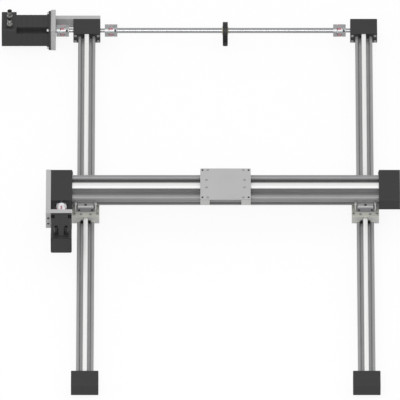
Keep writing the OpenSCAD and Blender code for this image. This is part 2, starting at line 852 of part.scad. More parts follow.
// Places children at the seats of the screws from the tie plate into the left drive block
module at_tie_screws() {
  for (side = [-1, 1], z = arm_screw_z)
    translate([-axis_x + side * foot_hole_pitch / 2, arm_y + bracket_t / 2 - m5, z])
      rotate([-90, 0, 0]) children();
}

module motor_flange_plate() {
  h = big_body + big_plate_rise;
  y0 = lower_pulley_y - big_flange / 2 + big_plate_inset;
  color(alu) difference() {
    translate([big_face_x, y0, lower_shaft_z - h / 2])
      cube([bracket_t, arm_y + bracket_t / 2 - y0, h]);
    at_big_face() translate([0, 0, -over]) cylinder(d = big_pilot_d, h = bracket_t + 2 * over);
    at_big_bolts() translate([0, 0, -over]) cylinder(d = m5, h = bracket_t + 2 * over);
    at_arm_screws() screw_hole(m5, bracket_t, m5);
  }
}

module motor_arm_plate() {
  x0 = big_face_x + bracket_t;
  color(alu) difference() {
    translate([x0, arm_y - bracket_t / 2, arm_foot_gap])
      cube([-axis_x + lower_block_w / 2 - x0, bracket_t,
            lower_block_h - arm_foot_gap - arm_top_gap]);
    at_tie_screws() screw_hole(m5, bracket_t, m5);
    at_arm_screws() screw_hole(m5, arm_screw_l);
  }
}

module drive_motor_screws() {
  color(steel) {
    at_tie_screws() cap_screw(m5, bracket_t - m5 + thread_l);
    at_arm_screws() cap_screw(m5, arm_screw_l);
    at_big_bolts() translate([0, 0, -big_flange_t]) rotate([180, 0, 0])
      cap_screw(m5, big_flange_t + bracket_t - spigot_h);
  }
}

module drive_motor_flange() {
  color(black) difference() {
    at_big_face() {
      translate([0, 0, -big_flange_t]) linear_extrude(big_flange_t)
        round_rect(big_flange, big_flange, big_corner_r);
      cylinder(d = big_pilot_d, h = spigot_h);
    }
    at_big_face() translate([0, 0, -big_flange_t - over])
      cylinder(d = big_motor_shaft_d + 2 * shaft_clear, h = big_flange_t + spigot_h + 2 * over);
    at_big_bolts() translate([0, 0, -big_flange_t - over])
      cylinder(d = m5, h = big_flange_t + 2 * over);
  }
}

// Square motor section with its four corners cut away for the screws
module notched_square(side, notch) {
  union() {
    square([side - 2 * notch, side], center = true);
    square([side, side - 2 * notch], center = true);
  }
}

// Fine grooves across the motor's stack: first, spacing, margin, width and depth
stack_groove = [14, 16, 12, 1.2, 0.6];

module drive_motor_body() {
  groove_l = big_body - 2 * big_notch;
  color(black) at_big_face() translate([0, 0, -big_flange_t - big_body_l]) difference() {
    linear_extrude(big_body_l) notched_square(big_body, big_notch);
    translate([0, 0, big_body_l - shaft_socket])
      cylinder(d = big_motor_shaft_d + 2 * shaft_clear, h = shaft_socket + over);
    for (a = [0 : 90 : 270]) rotate(a)
      for (z = [stack_groove[0] : stack_groove[1] : big_body_l - stack_groove[2]])
        translate([big_body / 2 - stack_groove[4], -groove_l / 2, z])
          cube([stack_groove[4] + over, groove_l, stack_groove[3]]);
  }
}

// Corner radius of a motor's rear housing, and the pad under its connectors
rear_corner_r = 3;
pad_inset = 12;
pad_l = 24;

module drive_motor_rear() {
  back = -big_flange_t - big_body_l - big_rear_l;
  color(black) at_big_face() {
    translate([0, 0, back]) linear_extrude(big_rear_l) {
      notched_square(big_body, big_notch);
      translate([0, big_body / 4]) round_rect(big_body, big_body / 2, rear_corner_r);
    }
    translate([0, big_body / 2 - over, back + connector_inset]) rotate([-90, 0, 0])
      linear_extrude(connector_seat_h + over)
        round_rect(big_body - 2 * pad_inset, pad_l, rear_corner_r);
  }
}

// Round panel connector: height of its collar and of its thicker sleeve, their growth over
// the shell, depth and wall of its mouth, and place, width and depth of the sleeve's groove
collar_h = 3;
collar_grow = 3;
sleeve_h = 9;
sleeve_grow = 1;
mouth_depth = 6;
mouth_wall = 1.5;
ring_groove = [3.6, 1.2, 0.7];

module round_connector(d, h) {
  difference() {
    union() {
      cylinder(d = d + collar_grow, h = collar_h);
      cylinder(d = d, h = h - over);
      translate([0, 0, h - sleeve_h]) cylinder(d = d + sleeve_grow, h = sleeve_h);
    }
    translate([0, 0, h - mouth_depth]) cylinder(d = d - 2 * mouth_wall, h = mouth_depth + over);
    translate([0, 0, h - ring_groove[0]]) difference() {
      cylinder(d = d + collar_grow, h = ring_groove[1]);
      cylinder(d = d + sleeve_grow - 2 * ring_groove[2], h = 2 * ring_groove[1] + over,
               center = true);
    }
  }
}

module drive_motor_connectors() {
  color(steel) at_big_face() for (side = [-1, 1])
    translate([side * big_connector_x, big_body / 2 + connector_seat_h,
               -big_flange_t - big_body_l - big_rear_l + connector_inset])
      rotate([-90, 0, 0]) round_connector(connector_d, big_connector_h);
}

// ---------------------------------------------------------------- lower carriages

// Section of a bearing housing around one bead, as seen along the rail with the bead on
// its +x side. The liner's seat is open below, where the rail's neck passes.
module housing_section(half_w, bead_x, bead_z, liner_r, top_z, cut_z, leg_z, inner_x,
                       relief_x, relief_z) {
  difference() {
    polygon([
      [inner_x, top_z], [half_w, top_z], [half_w, leg_z], [bead_x + liner_r, leg_z],
      [bead_x + liner_r, cut_z], [relief_x, cut_z], [relief_x, relief_z], [inner_x, relief_z]
    ]);
    translate([bead_x, bead_z]) circle(liner_r);
  }
}

// Section of a plastic liner around a bead, open below
module liner_section(bead_d, bead_z, liner_r, cut_z) {
  difference() {
    translate([0, bead_z]) circle(liner_r);
    translate([0, bead_z]) circle(bead_d / 2 + run_fit);
    translate([-2 * liner_r, cut_z - 4 * liner_r]) square(4 * liner_r);
  }
}

// Places children at each of the points, at height z
module at_points(points, z) {
  for (p = points) translate([p[0], p[1], z]) children();
}

// Places children at both lower carriages
module at_lower_carriages() {
  for (x = [-axis_x, axis_x]) translate([x, 0, 0]) children();
}

// Repeats children at the four mirrored places of a carriage
module four_ways() {
  for (mx = [0, 1], my = [0, 1]) mirror([mx, 0, 0]) mirror([0, my, 0]) children();
}

module lower_carriage_plates() {
  color("#b9bab5") at_lower_carriages() difference() {
    translate([0, 0, lower_plate_z]) linear_extrude(plate_t)
      round_rect(lower_carriage_w, lower_carriage_l, plate_corner_r);
    four_ways() {
      at_points(concat(lower_screws, clamp_screws), lower_plate_top - low_head)
        screw_hole(m5, plate_t, low_head);
      at_points(adapter_screws, lower_plate_z - over) cylinder(d = m5, h = plate_t + 2 * over);
      translate([stud_x, stud_y, lower_plate_z - over])
        cylinder(d = stud_d, h = plate_t + 2 * over);
      translate([stud_x, stud_y, lower_plate_top - stud_sink])
        cylinder(d = stud_cap_d + 2, h = stud_sink + over);
    }
  }
}

module lower_carriage_housings() {
  color(housing_grey) at_lower_carriages() four_ways() difference() {
    translate([0, lower_housing_y + housing_l / 2, 0]) rotate([90, 0, 0])
      linear_extrude(housing_l)
        housing_section(lower_carriage_w / 2, lower_bead_pitch / 2, lower_bead_z,
                        lower_liner_r, lower_plate_z, lower_cut_z, lower_cut_z - lower_leg,
                        lower_belt_w / 2 + lower_relief[0], lower_relief[1],
                        lower_bead_z + lower_relief[2]);
    at_points(lower_screws, lower_plate_top - low_head) screw_hole(m5, lower_screw_l);
  }
}

module lower_carriage_liners() {
  color("#e4e4dc") at_lower_carriages() four_ways()
    translate([lower_bead_pitch / 2, lower_housing_y + housing_l / 2 + liner_reach, 0])
      rotate([90, 0, 0]) linear_extrude(housing_l + 2 * liner_reach)
        liner_section(lower_bead_d, lower_bead_z, lower_liner_r, lower_cut_z);
}

// Clamp that grips the upper strand under a carriage plate, its top on z = 0. The belt's
// slot starts at drop below the plate.
module belt_clamp(size, belt_w, drop) {
  strand_h = backing + tooth_h;
  difference() {
    translate([-size[0] / 2, -size[1] / 2, -drop - strand_h - clamp_floor])
      cube([size[0], size[1], drop + strand_h + clamp_floor]);
    translate([-belt_w / 2 - belt_clear, -size[1], -drop - strand_h - belt_clear])
      cube([belt_w + 2 * belt_clear, 2 * size[1], strand_h + 2 * belt_clear]);
  }
}

module lower_belt_clamps() {
  color(alu) at_lower_carriages() difference() {
    translate([0, 0, lower_plate_z])
      belt_clamp(lower_clamp, lower_belt_w,
                 lower_plate_z - lower_shaft_z - belt_out_r(lower_teeth));
    four_ways() at_points(clamp_screws, lower_plate_top - low_head)
      screw_hole(m5, clamp_screw_l);
  }
}

module lower_carriage_screws() {
  color(steel) at_lower_carriages() four_ways() {
    at_points(lower_screws, lower_plate_top - low_head) cap_screw(m5, lower_screw_l, low_head);
    at_points(clamp_screws, lower_plate_top - low_head) cap_screw(m5, clamp_screw_l, low_head);
    at_points(adapter_screws, lower_plate_z) rotate([180, 0, 0])
      cap_screw(m5, plate_t + thread_l, low_head);
  }
}

module adapters() {
  h = cross_rail_z - lower_plate_top;
  color("#8a8b8c") at_lower_carriages() difference() {
    translate([0, 0, lower_plate_top]) linear_extrude(h) round_rect(adapter_w, adapter_l, plate_corner_r);
    translate([-adapter_w, -adapter_l * adapter_gap_l / 2, lower_plate_top - over])
      cube([2 * adapter_w, adapter_l * adapter_gap_l, h * adapter_gap_h + over]);
    four_ways() {
      translate([adapter_hole_x, adapter_l / 2 - adapter_hole_l, lower_plate_top + h / 2])
        rotate([-90, 0, 0]) cylinder(d = adapter_hole_d, h = adapter_hole_l + over);
      at_points(adapter_screws, lower_plate_top - over) cylinder(d = m5, h = thread_l + over);
    }
    for (my = [0, 1]) mirror([0, my, 0])
      translate([0, clamp_screw_y, clamp_top - m5]) screw_hole(m5, clamp_bolt_l);
  }
}

module rail_clamps() {
  lip_z = cross_rail_z + cross_flange_h;
  color("#b9babb") at_lower_carriages() for (my = [0, 1]) mirror([0, my, 0]) difference() {
    rotate([90, 0, 90]) linear_extrude(clamp_w, center = true) polygon([
      [cross_base_w / 2 + seat_gap, cross_rail_z], [adapter_l / 2, cross_rail_z],
      [adapter_l / 2, clamp_top - block_chamfer], [adapter_l / 2 - block_chamfer, clamp_top],
      [cross_base_w / 2 - clamp_lip, clamp_top], [cross_base_w / 2 - clamp_lip, lip_z],
      [cross_base_w / 2 + seat_gap, lip_z]
    ]);
    translate([0, clamp_screw_y, clamp_top - m5]) screw_hole(m5, clamp_bolt_l, m5);
  }
}

module levelling_screws() {
  color(steel) at_lower_carriages() four_ways() translate([stud_x, stud_y, 0]) {
    translate([0, 0, lower_plate_z]) cylinder(d = stud_d, h = stud_top - lower_plate_z - over);
    translate([0, 0, stud_top - stud_cap_h]) cylinder(d = stud_cap_d, h = stud_cap_h);
  }
}

module rail_clamp_screws() {
  for (my = [0, 1]) mirror([0, my, 0])
    translate([0, clamp_screw_y, clamp_top - m5]) cap_screw(m5, clamp_bolt_l);
}

// ---------------------------------------------------------------- cross axis

// End block of the cross axis, with its inner face on x = 0 and its body towards +x
module cross_block(shaft_d, seated) {
  mid = cross_block_l / 2;
  color(black) difference() {
    translate([0, 0, cross_shaft_z])
      chamfer_box(cross_block_l, cross_block_w, cross_block_h, block_chamfer);
    translate([-over, 0, cross_rail_z]) along_x()
      linear_extrude(seat_depth + seat_gap + over) cross_rail_section(grow = seat_gap);
    translate([mid / 2 - over, 0, cross_shaft_z])
      cube([mid + 2 * over, pocket_w(cross_belt_w), 2 * pocket_r(cross_teeth)], center = true);
    translate([mid, 0, cross_shaft_z]) along_y() {
      cylinder(r = pocket_r(cross_teeth), h = pocket_w(cross_belt_w), center = true);
      if (seated) {
        cylinder(d = shaft_d + 2 * shaft_clear, h = cross_block_w + 2 * over, center = true);
        for (side = [-1, 1]) {
          translate([0, 0, side * (cross_block_w / 2 - cross_bearing_sink - bearing_w / 2)])
            cylinder(d = bearing_d, h = bearing_w, center = true);
          translate([0, 0, side * (cross_block_w / 2)])
            cylinder(d = cross_recess_d, h = 2 * cross_bearing_sink, center = true);
        }
      } else
        cylinder(d = shaft_d, h = cross_block_w - 2 * axle_inset, center = true);
    }
    for (side = [-1, 1], z = cross_screw_z)
      translate([block_screw_sink, side * cross_screw_y, cross_shaft_z + z])
        rotate([0, -90, 0]) screw_hole(cross_screw_d, block_screw_l, block_screw_sink);
    if (seated)
      for (y = side_screw_y, z = cross_screw_z)
        translate([cross_block_l - thread_l, y, cross_shaft_z + z]) rotate([0, 90, 0])
          cylinder(d = m6, h = thread_l + over);
  }
}

module cross_drive_block() {
  mirror([1, 0, 0]) translate([cross_end, 0, 0]) cross_block(pulley_shaft_d, true);
}

module cross_idler_block() {
  translate([cross_end, 0, 0]) cross_block(idler_axle_d, false);
}

module cross_belt() {
  color(white) translate([0, 0, cross_shaft_z]) rotate([90, 0, 0])
    belt(cross_teeth, cross_pulley_x, cross_belt_w);
}

// Places children at the cross drive pulley's centre, with z along +y
module at_cross_drive(y = 0) {
  translate([-cross_pulley_x, y, cross_shaft_z]) rotate([-90, 0, 0]) children();
}

module cross_bearings() {
  offset_y = cross_block_w / 2 - cross_bearing_sink - bearing_w / 2;
  color(steel) for (side = [-1, 1])
    at_cross_drive(side * offset_y) ball_bearing(bearing_d, pulley_shaft_d / 2 + run_fit, bearing_w);
}

module cross_idler_axle() {
  color(steel) translate([cross_pulley_x, 0, cross_shaft_z]) along_y()
    cylinder(d = idler_axle_d, h = cross_block_w - 2 * axle_inset, center = true);
}

module cross_idler_pulley() {
  color(steel) translate([cross_pulley_x, 0, cross_shaft_z]) along_y()
    pulley(cross_teeth, cross_belt_w, idler_axle_d / 2 + run_fit);
}

module cross_drive_pulley() {
  color(steel) at_cross_drive() pulley(cross_teeth, cross_belt_w, pulley_shaft_d / 2);
}

module cross_pulley_shaft() {
  y0 = cross_coupling_y + shaft_end_gap;
  color(steel) at_cross_drive(y0) cylinder(d = pulley_shaft_d, h = cross_block_w / 2 - shaft_inset - y0);
}

module cross_motor_shaft() {
  y0 = small_face_y + 1;
  color(steel) at_cross_drive(y0)
    cylinder(d = small_motor_shaft_d, h = cross_coupling_y - shaft_end_gap - y0);
}

module cross_coupling_hubs() {
  color(steel) at_cross_drive(cross_coupling_y) coupling_halves(cross_coupling_l) {
    coupling_hub(cross_coupling_d, cross_coupling_l, small_motor_shaft_d);
    coupling_hub(cross_coupling_d, cross_coupling_l, pulley_shaft_d);
  }
}

module cross_coupling_spider() {
  color(red) at_cross_drive(cross_coupling_y) coupling_spider(cross_coupling_d);
}

module cross_side_plate() {
  color(alu) difference() {
    translate([-cross_outer - bracket_t, small_face_y + bracket_t, cross_block_z])
      cube([bracket_t, cross_block_w / 2 - small_face_y - bracket_t, cross_block_h]);
    for (y = side_screw_y, z = cross_screw_z)
      translate([-cross_outer - bracket_t + m6, y, cross_shaft_z + z]) rotate([0, -90, 0])
        screw_hole(m6, bracket_t, m6);
    at_flange_screws() screw_hole(m5, flange_screw_l + 2 * over);
  }
}

// Places children at the screws that join the flange plate to the side plate
module at_flange_screws() {
  for (z = flange_screw_z)
    translate([-cross_outer - bracket_t / 2, small_face_y + m5, cross_shaft_z + z])
      rotate([90, 0, 0]) children();
}

module at_small_bolts() {
  for (sx = [-1, 1], sz = [-1, 1])
    translate([-cross_pulley_x + sx * small_bolt_pitch / 2, small_face_y,
               cross_shaft_z + sz * small_bolt_pitch / 2]) rotate([90, 0, 0]) children();
}

module cross_flange_plate() {
  x0 = -cross_outer - bracket_t;
  h = small_body + 2 * small_plate_rise;
  color(alu) difference() {
    translate([x0, small_face_y, cross_shaft_z - h / 2])
      cube([-cross_pulley_x + small_body / 2 - x0, bracket_t, h]);
    at_cross_drive(small_face_y - over) cylinder(d = small_pilot_d, h = bracket_t + 2 * over);
    at_small_bolts() translate([0, 0, m5 - bracket_t]) rotate([180, 0, 0])
      screw_hole(m5, bracket_t, m5);
    at_flange_screws() screw_hole(m5, bracket_t, m5);
  }
}

module cross_motor_front() {
  color(black) difference() {
    union() {
      at_cross_drive(small_face_y - small_front_t) linear_extrude(small_front_t)
        round_rect(small_body, small_body, small_front_r);
      at_cross_drive(small_face_y) cylinder(d = small_pilot_d, h = spigot_h);
    }
    at_cross_drive(small_face_y - small_front_t - over)
      cylinder(d = small_motor_shaft_d + 2 * shaft_clear,
               h = small_front_t + spigot_h + 2 * over);
    at_small_bolts() translate([0, 0, -over]) cylinder(d = m5, h = small_front_t + 2 * over);
  }
}

// Cross axis motor: rise of its bracket plate, corner radius of its front, length of its
// rear housing, insets of its core and stack, the corner pockets over its screws, and the
// width and length of the pad under its connectors
small_plate_rise = 0.3;
small_front_r = 3;
small_rear_l = 30;
small_core_inset = 1.5;
small_stack_inset = 0.3;
small_pocket = [11, 14];
small_pad = [46, 20];

module cross_motor_body() {
  body_l = small_body_l - small_front_t;
  core = small_body - 2 * small_core_inset;
  stack = small_body - 2 * small_stack_inset;
  pocket = small_body / 2 - small_pocket[0];
  color(black) at_cross_drive(small_face_y - small_body_l) {
    difference() {
      union() {
        linear_extrude(body_l) round_rect(core, core, small_corner_r);
        translate([0, 0, small_core_inset])
          linear_extrude(small_rear_l - 2 * small_core_inset)
            round_rect(small_body, small_body, small_corner_r);
        translate([0, 0, small_rear_l]) linear_extrude(body_l - small_rear_l)
          round_rect(stack, stack, small_corner_r);
      }
      for (a = [0 : 90 : 270]) rotate(a)
        translate([pocket, pocket, body_l - small_pocket[1]])
          cube([small_pocket[0] + over, small_pocket[0] + over, small_pocket[1] + over]);
      translate([0, 0, body_l - shaft_socket])
        cylinder(d = small_motor_shaft_d + 2 * shaft_clear, h = shaft_socket + over);
    }
    translate([0, over - small_body / 2, small_connector_inset]) rotate([90, 0, 0])
      linear_extrude(connector_seat_h + over) round_rect(small_pad[0], small_pad[1], rear_corner_r);
  }
}

module cross_motor_connectors() {
  color(black) for (side = [-1, 1])
    translate([-cross_pulley_x + side * small_connector_x,
               small_face_y - small_body_l + small_connector_inset,
               cross_shaft_z + small_body / 2 + connector_seat_h])
      round_connector(connector_d, small_connector_h);
}

module cross_axis_screws() {
  color(steel) {
    for (mx = [0, 1], side = [-1, 1], z = cross_screw_z) mirror([mx, 0, 0])
      translate([cross_end + block_screw_sink, side * cross_screw_y, cross_shaft_z + z])
        rotate([0, -90, 0]) cap_screw(cross_screw_d, block_screw_l);
    for (y = side_screw_y, z = cross_screw_z)
      translate([-cross_outer - bracket_t + m6, y, cross_shaft_z + z]) rotate([0, -90, 0])
        cap_screw(m6, bracket_t - m6 + thread_l - over);
    at_flange_screws() cap_screw(m5, flange_screw_l);
    at_small_bolts() translate([0, 0, m5 - bracket_t]) rotate([180, 0, 0])
      cap_screw(m5, bracket_t - m5 + small_front_t - over);
    at_lower_carriages() rail_clamp_screws();
  }
}

// ---------------------------------------------------------------- tool carriage

// Places children at the seats of the belt clamp's screws, pointing down
module at_tool_clamp_screws()
  four_ways() at_points(tool_clamp_screws, tool_plate_z - tool_clamp_h + low_head)
    rotate([180, 0, 0]) children();

module tool_plate() {
  color("#bdbdbe") difference() {
    translate([0, 0, tool_plate_z]) linear_extrude(plate_t)
      round_rect(tool_carriage_l, tool_carriage_w, plate_corner_r);
    four_ways() {
      at_points(tool_screws_at, tool_plate_top - low_head) screw_hole(m5, plate_t, low_head);
      translate([tool_hole_x / 2, tool_hole_y / 2, tool_plate_z - over])
        cylinder(d = tool_hole_d, h = plate_t + 2 * over);
    }
    at_tool_clamp_screws() screw_hole(m5, tool_clamp_screw_l);
  }
}

module tool_housings() {
  color(housing_grey) four_ways() difference() {
    translate([tool_housing_x - housing_l / 2, 0, 0]) along_x() linear_extrude(housing_l)
      housing_section(tool_carriage_w / 2, cross_bead_pitch / 2, cross_bead_z,
                      tool_liner_r, tool_plate_z, tool_cut_z, tool_cut_z - tool_leg,
                      cross_belt_w / 2 + tool_relief[0], tool_relief[1],
                      cross_bead_z + tool_relief[2]);
    at_points(tool_screws_at, tool_plate_top - low_head) screw_hole(m5, tool_screw_l);
    translate([tool_hole_x / 2, tool_hole_y / 2, tool_plate_z - tool_hole_depth])
      cylinder(d = tool_hole_d, h = tool_hole_depth + over);
  }
}

module tool_liners() {
  color("#e4e4dc") four_ways()
    translate([tool_housing_x - housing_l / 2 - liner_reach, cross_bead_pitch / 2, 0]) along_x()
      linear_extrude(housing_l + 2 * liner_reach)
        liner_section(cross_bead_d, cross_bead_z, tool_liner_r, tool_cut_z);
}

module tool_belt_clamp() {
  color(alu) difference() {
    translate([0, 0, tool_plate_z]) rotate(90)
      belt_clamp(tool_clamp, cross_belt_w,
                 tool_plate_z - cross_shaft_z - belt_out_r(cross_teeth));
    at_tool_clamp_screws() screw_hole(m5, tool_clamp_screw_l, low_head);
  }
}

module tool_screws() {
  color(steel) {
    four_ways() at_points(tool_screws_at, tool_plate_top - low_head)
      cap_screw(m5, tool_screw_l, low_head);
    at_tool_clamp_screws() cap_screw(m5, tool_clamp_screw_l, low_head);
  }
}

// ---------------------------------------------------------------- nodes

module left_drive_block() {
  difference() {
    lower_block_at(-axis_x, 1);
    at_tie_screws() screw_hole(m5, bracket_t - m5 + thread_l);
  }
}

translate([-axis_x, 0, 0]) lower_rail();  // left_rail
translate([axis_x, 0, 0]) lower_rail();  // right_rail
left_drive_block();
lower_block_at(axis_x, 1);  // right_drive_block
lower_block_at(-axis_x, -1);  // left_idler_block
lower_block_at(axis_x, -1);  // right_idler_block
translate([-axis_x, 0, 0]) lower_belt();  // left_belt
translate([axis_x, 0, 0]) lower_belt();  // right_belt
drive_bearings();
idler_axles();
block_screws();
pedestal_bearing();
pedestal_bush();
motor_flange_plate();
motor_arm_plate();
drive_motor_flange();
drive_motor_body();
drive_motor_rear();
drive_motor_connectors();
drive_motor_screws();
drive_motor_shaft();
pulley_shafts();
drive_shaft();
drive_pulleys();
coupling_hubs();
coupling_spiders();
coupling_screws();
lower_idler_pulley(-axis_x);  // left_idler_pulley
lower_idler_pulley(axis_x);  // right_idler_pulley
lower_carriage_plates();
lower_carriage_housings();
lower_carriage_liners();
lower_belt_clamps();
lower_carriage_screws();
adapters();
rail_clamps();
levelling_screws();
cross_rail();
cross_drive_block();
cross_idler_block();
cross_belt();
cross_bearings();
cross_idler_axle();
cross_axis_screws();
cross_side_plate();
cross_flange_plate();
cross_motor_front();
cross_motor_body();
cross_motor_connectors();
cross_motor_shaft();
cross_pulley_shaft();
cross_drive_pulley();
cross_coupling_hubs();
cross_coupling_spider();
cross_idler_pulley();
tool_plate();
tool_housings();
tool_liners();
tool_belt_clamp();
tool_screws();
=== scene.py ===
# %% [markdown]
# # A flatbed gantry of belt driven axes
# Two rails lie side by side on a machine frame. A motor turns a long shaft, the shaft drives a
# toothed belt on each rail, and the two carriages bear a third axis with its own motor and belt.
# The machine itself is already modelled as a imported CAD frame. This lesson gives each piece the
# finish it has on the real machine, adds the toothed belts and other repeating parts with
# Geometry Nodes, and lights it like a catalogue picture.

# %% Load the machine
import json
import math
import bpy
from mathutils import Matrix, Vector


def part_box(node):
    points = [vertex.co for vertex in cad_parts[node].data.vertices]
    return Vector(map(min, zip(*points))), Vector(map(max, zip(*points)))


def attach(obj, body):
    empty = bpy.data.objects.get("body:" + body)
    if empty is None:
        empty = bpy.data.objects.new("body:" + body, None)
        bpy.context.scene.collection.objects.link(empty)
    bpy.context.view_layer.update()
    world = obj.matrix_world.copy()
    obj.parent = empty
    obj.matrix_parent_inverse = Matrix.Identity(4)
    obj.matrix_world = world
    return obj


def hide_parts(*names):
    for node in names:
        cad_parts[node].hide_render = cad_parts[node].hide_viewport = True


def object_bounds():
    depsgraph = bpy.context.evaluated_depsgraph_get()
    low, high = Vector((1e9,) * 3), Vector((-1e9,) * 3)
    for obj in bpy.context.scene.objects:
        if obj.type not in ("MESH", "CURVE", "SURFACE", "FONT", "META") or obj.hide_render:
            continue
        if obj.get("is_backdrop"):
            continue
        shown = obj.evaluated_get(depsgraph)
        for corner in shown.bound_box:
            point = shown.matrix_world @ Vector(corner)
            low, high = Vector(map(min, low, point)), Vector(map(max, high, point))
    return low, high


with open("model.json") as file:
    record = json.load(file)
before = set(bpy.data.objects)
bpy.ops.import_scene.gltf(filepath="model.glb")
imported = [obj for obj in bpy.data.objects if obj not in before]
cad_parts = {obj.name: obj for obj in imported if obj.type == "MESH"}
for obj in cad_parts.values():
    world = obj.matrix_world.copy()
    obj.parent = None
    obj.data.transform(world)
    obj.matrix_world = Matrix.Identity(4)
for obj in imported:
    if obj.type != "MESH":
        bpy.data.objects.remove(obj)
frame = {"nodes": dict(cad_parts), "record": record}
cad_box = [list(corner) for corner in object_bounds()]
print("machine", [round(1000 * (b - a), 1) for a, b in zip(*cad_box)], "mm")

# %% [markdown]
# ## Colours and nodes
# Finishes are easiest to agree on as screen colours, so they are written as hex values and turned
# into the linear numbers that shaders work in. A node tree is many small steps, so one helper
# adds a node with its options and either values or links on its inputs.

# %% Two helpers
MM = 0.001
X, Y, Z = 0, 1, 2


def linear(hex_colour):
    """The linear colour and an alpha of 1 for a screen colour, by the sRGB curve."""
    parts = [int(hex_colour[i:i + 2], 16) / 255 for i in (1, 3, 5)]
    return [p / 12.92 if p <= 0.04045 else ((p + 0.055) / 1.055) ** 2.4 for p in parts] + [1]


def add(tree, kind, options=None, inputs=None):
    """Adds a node to a tree; an input is a value, or another node's output to link."""
    node = tree.nodes.new(kind)
    for name, value in (options or {}).items():
        setattr(node, name, value)
    for key, value in (inputs or {}).items():
        if isinstance(value, bpy.types.NodeSocket):
            tree.links.new(value, node.inputs[key])
        else:
            node.inputs[key].default_value = value
    return node


print("mid grey is", round(linear("#808080")[0], 3), "in linear light")

# %% [markdown]
# ## What the finishes share
# Nearly every finish here is built in the same way. A fine pattern moves the roughness and the
# height a little, wide clouds move the colour by a few percent, and a Bevel node rounds the
# light on each sharp edge, as the tumbling or coating of a real edge does. Only the pattern and
# the amounts differ, so they are the inputs of one function.

# %% The common build of a finish
def patterned(name, colour, roughness, pattern_mm, stretch, depth, edge_mm, metallic, amounts):
    """A finish whose fine pattern is pattern_mm wide and depth (in mm) high."""
    material = bpy.data.materials.new(name)
    material.use_nodes = True
    tree = material.node_tree
    shader = tree.nodes["Principled BSDF"]
    shader.inputs["Metallic"].default_value = metallic
    place = add(tree, "ShaderNodeTexCoord").outputs["Object"]
    scaled = add(tree, "ShaderNodeMapping", inputs={"Vector": place, "Scale": stretch})
    pattern = add(tree, "ShaderNodeTexNoise", inputs={
        "Vector": scaled.outputs["Vector"], "Scale": 1 / (pattern_mm * MM),
        "Detail": amounts["detail"]})
    clouds = add(tree, "ShaderNodeTexNoise", inputs={
        "Vector": place, "Scale": 1 / (amounts["cloud_mm"] * MM),
        "Detail": amounts["cloud_detail"]})
    tone = add(tree, "ShaderNodeMapRange", inputs={
        "Value": clouds.outputs["Fac"],
        "To Min": 1 - amounts["colour"], "To Max": 1 + amounts["colour"]})
    tint = add(tree, "ShaderNodeMix", {"data_type": "RGBA", "blend_type": "MULTIPLY"}, {
        "Factor": 1.0, 6: linear(colour), 7: tone.outputs["Result"]})
    rough = add(tree, "ShaderNodeMapRange", inputs={
        "Value": pattern.outputs["Fac"], "To Min": roughness - amounts["roughness"],
        "To Max": roughness + amounts["roughness"]})
    edge = add(tree, "ShaderNodeBevel", {"samples": 4}, {"Radius": edge_mm * MM})
    bump = add(tree, "ShaderNodeBump", inputs={
        "Height": pattern.outputs["Fac"], "Distance": depth * MM,
        "Strength": amounts["height"], "Normal": edge.outputs["Normal"]})
    tree.links.new(tint.outputs[2], shader.inputs["Base Color"])
    tree.links.new(rough.outputs["Result"], shader.inputs["Roughness"])
    tree.links.new(bump.outputs["Normal"], shader.inputs["Normal"])
    print(f"{name}: {colour}, a pattern of {pattern_mm} mm")
    return material


# %% [markdown]
# ## Lined metal
# Extruding, turning, grinding and milling all leave fine parallel lines in metal, and these are
# most of what the eye reads as "aluminium" or "steel". A noise pattern that is a hundred times
# as long in one direction as in the others gives such lines. Real lines are 0.05 to 0.2 mm
# apart, too fine to show on a machine of this size, so they are drawn a few times as coarse.

# %% A maker for lined metal
LINE_SQUEEZE = 0.01
LINE_AMOUNTS = {"detail": 2.0, "cloud_mm": 60, "cloud_detail": 1.0,
                "colour": 0.06, "roughness": 0.05, "height": 0.6}


def lined_metal(name, colour, roughness, across_mm, along, depth=0.02, edge_mm=0.4,
                metallic=1.0):
    """Metal with fine lines that run along axis X, Y or Z, each about across_mm wide."""
    stretch = [1, 1, 1]
    stretch[along] = LINE_SQUEEZE
    return patterned(name, colour, roughness, across_mm, stretch, depth, edge_mm, metallic,
                     LINE_AMOUNTS)


# %% [markdown]
# ## Grained coats and plastics
# Blasted, anodised, lacquered and moulded surfaces have no direction, only a fine grain, so
# their noise is even. Black coats stay dark in the base colour, because the sheen of the coat
# adds its own light. Blasting grit leaves dents of about 0.1 mm and a casting skin about
# 0.3 mm, so these too are drawn coarser than they are.

# %% A maker for grained surfaces
GRAIN_AMOUNTS = {"detail": 3.0, "cloud_mm": 25, "cloud_detail": 2.0,
                 "colour": 0.08, "roughness": 0.06, "height": 0.5}


def grained(name, colour, roughness, grain_mm, depth=0.05, edge_mm=0.5, metallic=0.0,
            sheen_level=0.5):
    """Coat, casting or plastic with an even grain about grain_mm across."""
    material = patterned(name, colour, roughness, grain_mm, (1, 1, 1), depth, edge_mm,
                         metallic, GRAIN_AMOUNTS)
    shader = material.node_tree.nodes["Principled BSDF"]
    shader.inputs["Specular IOR Level"].default_value = sheen_level
    return material


# %% [markdown]
# ## Rails
# The rails are extruded aluminium with a clear anodised skin, a soft grey with draw lines along
# the rail. The lower rails run along Y and the cross rail along X. The skin of the wide cross
# rail is a little darker and duller than that of the lower rails.

# %% Extruded rails
# Clear anodising on extruded aluminium: satin, with one soft bright band along each round edge
lower_rail_skin = lined_metal("anodised extrusion along Y", "#9a9a9b", roughness=0.32,
                              across_mm=0.9, along=Y, metallic=0.35)
# The same with a duller surface: broad faint bands along the thick round edges
cross_rail_skin = lined_metal("anodised extrusion along X", "#8f8f90", roughness=0.5,
                              across_mm=0.9, along=X, metallic=0.35)

